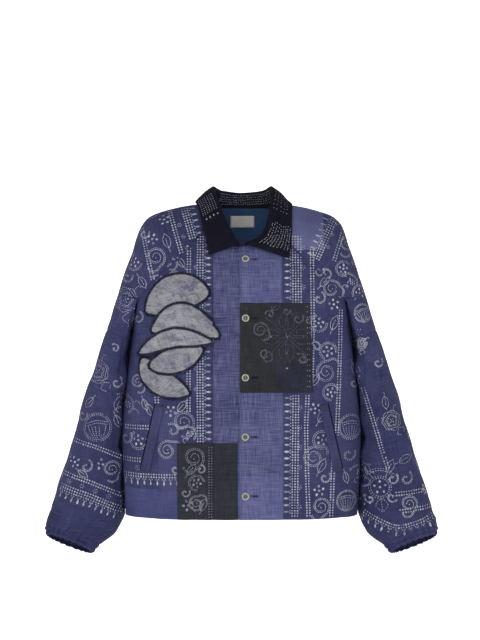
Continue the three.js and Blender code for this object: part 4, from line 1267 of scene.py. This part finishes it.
left_front = np.concatenate([
    teeth([(106, -64), (106, -208)], -1, 4), teeth([(106, -394), (104, -646)], -1, 3),
    every(SPRIG, [(127, -70), (127, -206)], 41, size=1.3),
    every(SPRIG, [(120, -400), (118, -650)], 41, size=1.3),
    two_dots([(146, -92), (146, -300), (142, -388)]), two_dots([(136, -394), (133, -470), (138, -648)]),
    two_dots([(206, -218), (203, -350), (197, -482)]), two_dots([(190, -528), (186, -648)]),
    teeth([(196, -14), (150, -112)], -1, 3), two_dots([(220, -36), (192, -118)]),
    every(SPRIG, [(206, -24), (170, -112)], 28),
    garland([
        (FLOWER, 191, -208, 0.2), (RINGED, 159, -247, 2.4, 0.95), (RINGED, 179, -305, 0.4, 0.95),
        (PAISLEY, 176, -346, 3.0, 0.95), (RINGED, 185, -390, 0.9, 0.9), (FLOWER, 152, -423, 0.5),
        (RINGED, 166, -488, 1.0, 1.0), (PAISLEY, 150, -522, 2.8, 0.95), (FLOWER, 160, -593, 0.1),
        (LEAF, 186, -262, 1.2, 0.9), (LEAF, 160, -352, -2.2, 0.85), (LEAF, 158, -452, 1.0, 0.9),
        (LEAF, 158, -556, 1.1, 0.9), (COIL, 172, -566, 0.5, 0.8), (PAISLEY, 164, -628, 0.2, 0.85),
        (COIL, 160, -196, 1.0, 0.85), (LEAF, 162, -172, 0.8, 0.8), (COIL, 176, -148, 2.0, 0.8),
        (PAISLEY, 188, -176, 1.8, 0.8), (COIL, 154, -296, 2.4, 0.7), (BASKET, 227, -463, 0, 0.95),
        (COIL, 223, -520, 0.2, 0.95), (BASKET, 219, -617, 0, 0.8), (LEAF, 214, -556, -1.3, 0.7),
        (COIL, 160, -140, 0.4, 0.7), (RINGED, 212, -134, 1.2, 0.85), (PAISLEY, 222, -84, 0.4, 0.8),
        (COIL, 238, -116, 1.0, 0.8), (BOUQUET, 231, -162, 0.2, 0.8), (RINGED, 248, -184, 0.2, 0.9),
        (BASKET, 254, -226, 0.3, 0.7), (SPRIG, 246, -266, 0, 1.8), (ROSETTE, 250, -290, 0, 0.5),
        (LEAF, 232, -330, -1.1, 0.9), (COIL, 236, -372, 0.5, 0.7), (ROSETTE, 316, -452, 0.6, 0.85),
        (LEAF, 300, -400, -1.4, 0.8), (COIL, 286, -330, 0.6, 0.7), (CREST, 291, -592, 0.1, 1.25),
        (BOUQUET, 252, -560, 0.6, 0.8), (COIL, 346, -574, 0.8, 0.9), (LEAF, 330, -540, 0.4, 0.9),
        (PAISLEY, 352, -628, 0.4, 0.8), (FLOWER, 262, -620, 0.4)]),
    two_dots([(254, -381), (282, -470), (308, -556)]), two_dots([(322, -606), (400, -598)], 6),
    two_dots([(330, -642), (408, -632)], 6),
    teeth([(256, -646), (290, -664), (326, -676), (366, -668), (408, -652)], -1, 2),
])


def print_half(view, hand, drawn, panel):
    """Prints half of a view: on its panel of the body, and then on the sleeve beside it."""
    sheets = sheets_of(panel, f"sleeve_{hand}_upper", f"sleeve_{hand}_lower")
    stamp(f"print_{view}_{hand}", on_cloth(drawn, sheets, view == "back"), print_white)


print_half("front", "right", right_front, "front_right_side")
print_half("front", "left", left_front, "front_left_side")

chest_print = np.concatenate([
    moved(STAR, 93, -275), every(petals(2.2, 1.6, 4), [(10, -214), (10, -236)], 9),
    garland([
        (COIL, 116, -238, 0.4, 0.7), (COIL, 122, -322, 2.0, 0.8), (COIL, 52, -318, 1.1, 0.8),
        (PAISLEY, 40, -262, 1.4, 0.7), (LEAF, 62, -222, 0.9, 0.8), (COIL, 92, -222, 0, 0.5)])])
stamp("print_chest_patch", on_cloth(chest_print, sheets_of("chest_patch")), print_grey, 0.25)
bright = np.concatenate([two_dots([(138, -210), (138, -386)], 5, 2.6)[::2],
                         marks([93, 93, 60], [-275, -340, -275], 0, 5.5, 4.6)])
stamp("print_chest_dots", on_cloth(bright, sheets_of("chest_patch")), print_patch)
hem_print = np.concatenate([
    two_dots([(-64, -500), (-64, -648)], 5.6, 2.7),
    garland([
        (PAISLEY, -98, -526, 0.2, 0.95), (RINGED, -92, -576, 0.8, 0.85), (LEAF, -112, -560, 0.9, 0.8),
        (FLOWER, -110, -622, 0.4), (COIL, -84, -548, 1.2, 0.6), (LEAF, -84, -634, 1.2, 0.8),
        (PAISLEY, -92, -618, 2.9, 0.7), (COIL, -116, -596, 0.2, 0.6)])])
stamp("print_hem_patch", on_cloth(hem_print, sheets_of("hem_patch_printed")), print_patch)

# ---- the back's prints, in the front's manner ----

back_right = np.concatenate([
    teeth([(-84, -30), (-84, -420)], 1), two_dots([(-128, -80), (-128, -430)]),
    every(SPRIG, [(-106, -60), (-106, -420)], 42),
    two_dots([(-190, -330), (-190, -440)]), teeth([(-240, -560), (-110, -562)], -1, 2),
    two_dots([(-240, -470), (-110, -470)], 6),
    garland([
        (PAISLEY, -158, -150, 0.6, 0.9), (RINGED, -162, -210, 2.0, 0.95), (LEAF, -150, -250, -1.4, 0.9),
        (COIL, -182, -258, 0.4, 0.9), (BOUQUET, -162, -300, 0.3, 0.9), (ROSETTE, -162, -384, 0.2, 0.8),
        (COIL, -212, -300, 1.2, 0.8), (BASKET, -218, -400, 0, 0.8), (PAISLEY, -150, -514, 2.6, 0.8),
        (RINGED, -206, -514, 0.8, 0.9), (LEAF, -186, -170, 0.8, 0.8), (ROSETTE, -262, -260, 0, 0.9),
        (BASKET, -292, -390, 0.2, 1.0), (LEAF, -254, -330, -1.8, 0.9), (BOUQUET, -310, -460, 0, 0.9),
        (COIL, -270, -450, 0.4, 0.9), (RINGED, -330, -520, 0.6, 0.9), (PAISLEY, -222, -120, 0.4, 0.8),
        (FLOWER, -190, -90, 0.2), (COIL, -206, -200, 0.8, 0.8)]),
    two_dots([(-380, -560), (-250, -610)]), teeth([(-386, -592), (-252, -644)], -1, 3),
])
back_left = np.concatenate([
    teeth([(84, -30), (84, -300)], -1, 4), teeth([(100, -430), (100, -646)], -1),
    every(SPRIG, [(122, -60), (122, -300)], 41, size=1.3),
    two_dots([(150, -110), (148, -540)]), two_dots([(214, -240), (208, -540)]),
    two_dots([(60, -330), (60, -646)]),
    garland([
        (CREST, -10, -446, 0.2, 1.1), (COIL, -34, -376, 0.4, 0.9), (COIL, 20, -520, 1.4, 0.9),
        (LEAF, -40, -520, 0.6, 0.9), (RINGED, 180, -190, 1.4, 0.95), (PAISLEY, 182, -246, 2.6, 0.9),
        (RINGED, 180, -306, 0.4, 0.95), (LEAF, 176, -350, -1.2, 0.9), (BOUQUET, 182, -396, 0.2, 0.9),
        (RINGED, 180, -460, 2.4, 0.95), (PAISLEY, 176, -510, 0.4, 0.9), (COIL, 160, -150, 0.4, 0.8),
        (ROSETTE, 262, -280, 0.4, 0.9), (CREST, 300, -420, 0.1, 1.0), (COIL, 246, -350, 0.6, 0.8),
        (BASKET, 330, -520, 0.1, 0.9), (LEAF, 280, -490, -1.2, 0.9), (PAISLEY, 222, -110, 0.5, 0.8),
        (FLOWER, 240, -200, 0.5), (COIL, 232, -400, 1.0, 0.7)]),
    two_dots([(262, -596), (390, -560)]), teeth([(256, -640), (320, -640), (392, -604)], -1, 3),
])
print_half("back", "right", back_right, "back")
print_half("back", "left", back_left, "back")

# ---- the sleeves' outer sides, printed round the tube ----


def on_outer_side(drawn, piece):
    """Marks on a sleeve's outer side: x runs round it from its outermost line, z down from its top."""
    middle = len(piece.points) // 2
    outermost = int(np.argmax(np.abs(piece.points[middle, :, 0])))
    r = np.interp(-drawn[:, 1], piece.down[:, outermost], np.arange(len(piece.down)))
    round_it = piece.across - piece.across[:, outermost:outermost + 1]
    columns = np.arange(piece.points.shape[1])
    c = np.array([np.interp(x, round_it[int(row)], columns) for x, row in zip(drawn[:, 0], r)])
    across = unit(piece.sample(piece.points, r, c + 0.5) - piece.sample(piece.points, r, c - 0.5))
    normal = unit(piece.sample(piece.normals, r, c))
    heading = across * np.cos(drawn[:, 2:3]) + np.cross(normal, across) * np.sin(drawn[:, 2:3])
    return piece.sample(piece.points, r, c), normal, heading, drawn[:, 3:]


outer_print = garland([
    (ROSETTE, -6, -52, 0.3, 0.9), (LEAF, 26, -112, -1.9, 0.9), (COIL, -24, -122, 0.6, 0.9),
    (RINGED, 4, -172, 0.8, 0.95), (PAISLEY, -6, -238, 0.4, 0.95), (LEAF, -26, -298, -1.2, 0.9),
    (BASKET, 8, -330, 0.1, 0.85), (SPRIG, 44, -280, 0, 1.5), (FLOWER, -34, -360, 0.2)])
for hand in HANDS:
    drawn = moved(outer_print, 0, 0, flip=hand == "right")
    stamp(f"print_sleeve_{hand}_outer", on_outer_side(drawn, laid[f"sleeve_{hand}_lower"][0]), print_white)

# ---- stitches ----


def edge_stitches(piece, edge, inset=2.4, pitch=4.6, long=2.8, wide=0.7, satin=False, inner=0.0):
    """A row of stitches along one edge of a laid piece; inner puts it on the other side of the cloth."""
    points, normals = piece.points, piece.normals
    if edge in ("left", "right"):
        points, normals = np.swapaxes(points, 0, 1), np.swapaxes(normals, 0, 1)
    if edge in ("high", "right"):
        points, normals = points[::-1], normals[::-1]
    depth = np.pad(np.cumsum(np.linalg.norm(np.diff(points, axis=0), axis=-1), axis=0), ((1, 0), (0, 0)))
    columns = np.arange(points.shape[1])
    rows = np.array([np.interp(inset, depth[:, c], np.arange(len(depth))) for c in columns])
    places = piece.sample(points, rows, columns.astype(float))
    outwards = piece.sample(normals, rows, columns.astype(float)) * (-1 if inner else 1)
    arc = np.pad(np.cumsum(np.linalg.norm(np.diff(places, axis=0), axis=-1)), (1, 0))
    where = np.arange(pitch / 2, arc[-1], pitch)
    place = np.column_stack([np.interp(where, arc, axis) for axis in places.T])
    normal = unit(np.column_stack([np.interp(where, arc, axis) for axis in outwards.T]))
    heading = unit(np.gradient(place, axis=0))
    if satin:
        heading = np.cross(normal, heading)
    return place + normal * inner, normal, heading, np.tile((long, wide), (len(where), 1))


def grid_stitches(piece, rows, columns, long, wide, loose=0.0):
    """Stitches at places of a laid piece's own grid, along its rows or, if loose, scattered."""
    r, c = (np.ravel(v).astype(float) for v in np.broadcast_arrays(rows, columns))
    r, c = r + 0.5 * loose * (rng.random(len(r)) - 0.5), c + 0.5 * loose * (rng.random(len(c)) - 0.5)
    normal = unit(piece.sample(piece.normals, r, c))
    heading = unit(piece.sample(piece.points, r, c + 0.5) - piece.sample(piece.points, r, c - 0.5))
    turn = (loose * (rng.random(len(r)) - 0.5) * 1.6)[:, None]
    heading = heading * np.cos(turn) + np.cross(normal, heading) * np.sin(turn)
    return piece.sample(piece.points, r, c), normal, heading, np.tile((long, wide), (len(r), 1))


def stitch(name, rows, material, height=0.3):
    stamp(name, [np.concatenate(parts) for parts in zip(*rows)], material, height)


def edge_rows(names, edges, insets, **how):
    """Rows of stitches along each edge given of each piece named, at each distance in from it."""
    return [edge_stitches(laid[name][0], edge, inset, **how)
            for name in names for edge in edges for inset in insets]


ENDS, FLANKS = ("low", "high"), ("left", "right")
ALL_EDGES = ENDS + FLANKS
WELTS = [f"pocket_welt_{hand}" for hand in HANDS]
hems = edge_rows(("front_left_centre", "front_left_side", "front_right_centre", "front_right_side", "back"),
                 ("low",), (12,))
seams = [edge_stitches(laid[name][0], edge, 3.4) for name, edge in (
    ("front_left_centre", "right"), ("front_left_side", "high"), ("front_right_centre", "right"),
    ("front_right_side", "high"), ("back", "high"), ("back", "left"), ("back", "right"),
    ("front_left_centre", "left"), ("sleeve_left_lower", "low"), ("sleeve_right_lower", "low"))]
raglans = edge_rows([f"sleeve_{hand}_upper" for hand in HANDS], FLANKS, (3.4,))
casings = edge_rows([f"cuff_{hand}" for hand in HANDS], ("low",), (2, 22, 41), pitch=3.4, long=2.2)
stitch("seam_stitches", hems + seams + raglans + casings, seam_thread)
patches = edge_rows(("chest_patch", "hem_patch_plain", "hem_patch_printed"), ALL_EDGES, (2.0, 4.6),
                    pitch=4.4, long=2.9, wide=0.75)
stitch("patch_stitches", patches, coal_thread)
outlines = edge_rows([f"applique_leaf_{i}" for i in range(1, 6)], ALL_EDGES, (2.2,), pitch=1.5, long=8.0,
                     wide=1.7, satin=True)
stitch("applique_satin", outlines, satin_thread, 0.5)
stitch("welt_stitches", edge_rows(WELTS, FLANKS, (1.8,)), seam_thread)
tacks = edge_rows(WELTS, ENDS, (1.5, 3.4), pitch=1.0, long=2.6, wide=0.9, satin=True)
stitch("bar_tacks", tacks, moss_thread, 0.5)
label_rows = edge_rows(("neck_label",), ALL_EDGES, (1.6,), pitch=2.6, long=1.9, wide=0.5, inner=0.6)
stitch("label_stitches", label_rows, cream_thread, 0.2)
collar = laid["collar"][0]
leaf_rows = np.arange(21, 35, 1.7)[:, None]
flecks = [grid_stitches(collar, leaf_rows, np.arange(116, 127, 0.85) + 0.3 * np.sin(leaf_rows * 3), 3.8, 1.3,
                        1.0),
          grid_stitches(collar, np.arange(20, 34, 2.2)[:, None], np.arange(19, 28, 1.0), 2.3, 2.0),
          grid_stitches(collar, np.arange(21, 34, 3.4), 16.8, 6.0, 3.4),
          grid_stitches(collar, np.arange(19, 34, 3.0)[:, None], np.arange(31, 112, 1.9), 3.4, 1.2, 1.5),
          grid_stitches(collar, np.arange(4, 15, 2.2)[:, None], np.arange(46, 92, 1.5), 3.4, 1.2, 1.5)]
stitch("collar_flecks", flecks, collar_thread)
stitch("collar_stitches", edge_rows(("collar",), ("high", *FLANKS), (4,)), coal_thread)

# ---- pocket slits, buttonholes and buttons ----

SLIT_HALF = 1.3


def slit_height(share, reach, x, z):
    return LIFT + 0.3


# Each pocket slit is a thin dark strip of painted shade beside its welt, standing for the shadow in the
# pocket's opening.
for side, hand in SIDES:
    line = [(share, side * (x + WELT_HALF + 2.0), z + 2.4) for share, x, z in WELT_LINE]
    laid[f"pocket_slit_{hand}"] = [strip_on_body(line, even_half(SLIT_HALF), 40, 2, slit_height)]
    lay_cloth(f"pocket_slit_{hand}", laid[f"pocket_slit_{hand}"], gap_shade_cloth,
                                  0.4)

BUTTON_X, BUTTON_Z, BUTTON_PITCH, BUTTONS = 8, -115, 122, 5
# A thread hole is as wide as it stands off each of the button's middle lines.
BUTTON_RADIUS, BUTTON_DISH, THREAD_HOLE = 7.5, 1.9, 1.5
BUTTON_PROFILE = [(0, 0), (7.0, 0), (BUTTON_RADIUS, 0.5), (BUTTON_RADIUS, 2.1), (7.1, 2.8), (6.4, 3.0),
                  (5.5, 2.8), (4.8, 2.0),
                  (0, 1.7)]
HOLE_X, HOLE_LONG, SLIT_WIDE = 27, 16, 1.5
button_z = BUTTON_Z - BUTTON_PITCH * np.arange(BUTTONS)
placket = sheets_of("chest_patch", "front_left_centre")
# The buttonholes are not cut: dark lenses of painted shade stand for their slits.
slits = marks(HOLE_X, button_z, 0, HOLE_LONG, SLIT_WIDE)
stamp("buttonhole_slits", on_cloth(slits, placket), gap_shade_cloth, 0.3)
along_hole = np.arange(-HOLE_LONG / 2, HOLE_LONG / 2 + 0.1, 1.1)
satin = np.concatenate([marks(HOLE_X + along_hole, z + side * SLIT_WIDE, math.pi / 2, 2.4, 1.0)
                        for z in button_z for side in (-1, 1)])
stamp("buttonhole_satin", on_cloth(satin, placket), satin_thread, 0.4)


def make_button_finish():
    material, tree, shader, place = start_finish("cream_button")
    rim = tree.add("ShaderNodeAttribute", attribute_name="rim").outputs["Fac"]
    clouds = tree.noise(place, (260, 260, 260), 3, 0.6)
    cream = tree.mixed(clouds, colour(190, 188, 170), colour(216, 213, 198))
    base = tree.mixed(tree.stepped(rim, 0.62, 0.74), colour(104, 104, 92), cream)
    tree.join(base, shader.inputs["Base Color"])
    tree.join(tree.math("MULTIPLY_ADD", clouds, 0.2, 0.3), shader.inputs["Roughness"])
    tree.relief(clouds, 0.2, 0.0003, shader)
    return material


def spin_profile(bm, profile, steps, weld):
    """Turns a profile of radii and heights, in metres, round the upright axis."""
    verts = [bm.verts.new((radius, 0, height)) for radius, height in profile]
    edges = [bm.edges.new(pair) for pair in zip(verts, verts[1:])]
    bmesh.ops.spin(bm, geom=verts + edges, axis=(0, 0, 1), cent=(0, 0, 0), angle=2 * math.pi, steps=steps,
                   use_merge=True)
    bmesh.ops.remove_doubles(bm, verts=bm.verts, dist=weld)
    bmesh.ops.recalc_face_normals(bm, faces=bm.faces)


def make_button(number, z, material):
    """A turned button on the placket; gives back what its holes and its two bars of thread need."""
    place = body_point(BUTTON_X, z, False).reshape(3)
    by_x = body_point(BUTTON_X + 1, z, False).reshape(3) - place
    by_z = body_point(BUTTON_X, z + 1, False).reshape(3) - place
    normal = unit(np.cross(by_x, by_z))
    lift = LIFT + PATCH + 0.5 + PATCH if CHEST_PATCH_LOW < z < ARMPIT else 0.6
    bm = bmesh.new()
    rim_layer = bm.verts.layers.float.new("rim")
    spin_profile(bm, [(radius * MM, height * MM) for radius, height in BUTTON_PROFILE], 32, 0.00001)
    for vert in bm.verts:
        vert[rim_layer] = math.hypot(vert.co.x, vert.co.y) / (BUTTON_RADIUS * MM)
    turn = Vector((0, 0, 1)).rotation_difference(Vector(normal)).to_matrix().to_4x4()
    bmesh.ops.transform(bm, matrix=Matrix.Translation(Vector((place + normal * lift) * MM)) @ turn,
                        verts=bm.verts)
    name = f"button_{number}_turned"
    piece = stand_piece(name, mesh_from(bm, name), material)
    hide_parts(f"button_{number}")
    middle, side = place + normal * (lift + BUTTON_DISH), unit(by_x)
    up = np.cross(normal, side)
    holes = [middle + side * a * THREAD_HOLE + up * b * THREAD_HOLE for a in (-1, 1) for b in (-1, 1)]
    bars = [middle + up * b * THREAD_HOLE + normal * 0.2 for b in (-1, 1)]
    return holes, bars, normal, side


button_finish = make_button_finish()
holes, bars = [], []
for number, z in enumerate(button_z, 1):
    made_holes, made_bars, normal, across_button = make_button(number, z, button_finish)
    holes += [(place, normal, across_button, (THREAD_HOLE, THREAD_HOLE)) for place in made_holes]
    bars += [(place, normal, across_button, (4.2, 0.9)) for place in made_bars]
# The thread holes are not cut: small dark lenses of painted shade stand for them.
stamp("button_holes", [np.array(parts) for parts in zip(*holes)], gap_shade_cloth, 0.15)
stamp("button_threads", [np.array(parts) for parts in zip(*bars)], cream_thread, 0.3)

# ---- floor and backdrop ----

FLOOR_Z, STUDIO_REACH, STUDIO_TOP, STUDIO_BEND = -1.35, 6.5, 5.0, 1.5  # metres
PAPER_GLOW, SEEN_GLOW = 0.2, 0.75  # the paper's own light, and what it adds where the camera sees it


def make_studio():
    """A pale floor that runs up all round into a pale wall, in one curve."""
    bm = bmesh.new()
    turns = np.linspace(0, math.pi / 2, 12)
    bend = [(STUDIO_REACH - STUDIO_BEND * (1 - math.sin(a)),
             FLOOR_Z + STUDIO_BEND * (1 - math.cos(a))) for a in turns]
    spin_profile(bm, [(0, FLOOR_Z), *bend, (STUDIO_REACH, STUDIO_TOP)], 64, 0.0001)
    bmesh.ops.reverse_faces(bm, faces=bm.faces)
    mesh = mesh_from(bm, "studio")
    mesh.shade_smooth()
    material = bpy.data.materials.new("studio_paper")
    material.use_nodes = True
    tree = Tree(material.node_tree)
    shader = material.node_tree.nodes["Principled BSDF"]
    shader.inputs["Base Color"].default_value = (0.92, 0.92, 0.92, 1)
    shader.inputs["Roughness"].default_value = 0.9
    shader.inputs["Emission Color"].default_value = (1, 1, 1, 1)
    seen = tree.add("ShaderNodeLightPath").outputs["Is Camera Ray"]
    tree.join(tree.math("MULTIPLY_ADD", seen, SEEN_GLOW, PAPER_GLOW), shader.inputs["Emission Strength"])
    mesh.materials.append(material)
    studio = bpy.data.objects.new("studio", mesh)
    bpy.context.scene.collection.objects.link(studio)


make_studio()
world = bpy.data.worlds.new("world")
world.use_nodes = True
world.node_tree.nodes["Background"].inputs["Color"].default_value = (0.96, 0.97, 1.0, 1)
world.node_tree.nodes["Background"].inputs["Strength"].default_value = 0.15
bpy.context.scene.world = world
bpy.context.scene.view_settings.view_transform = "Standard"
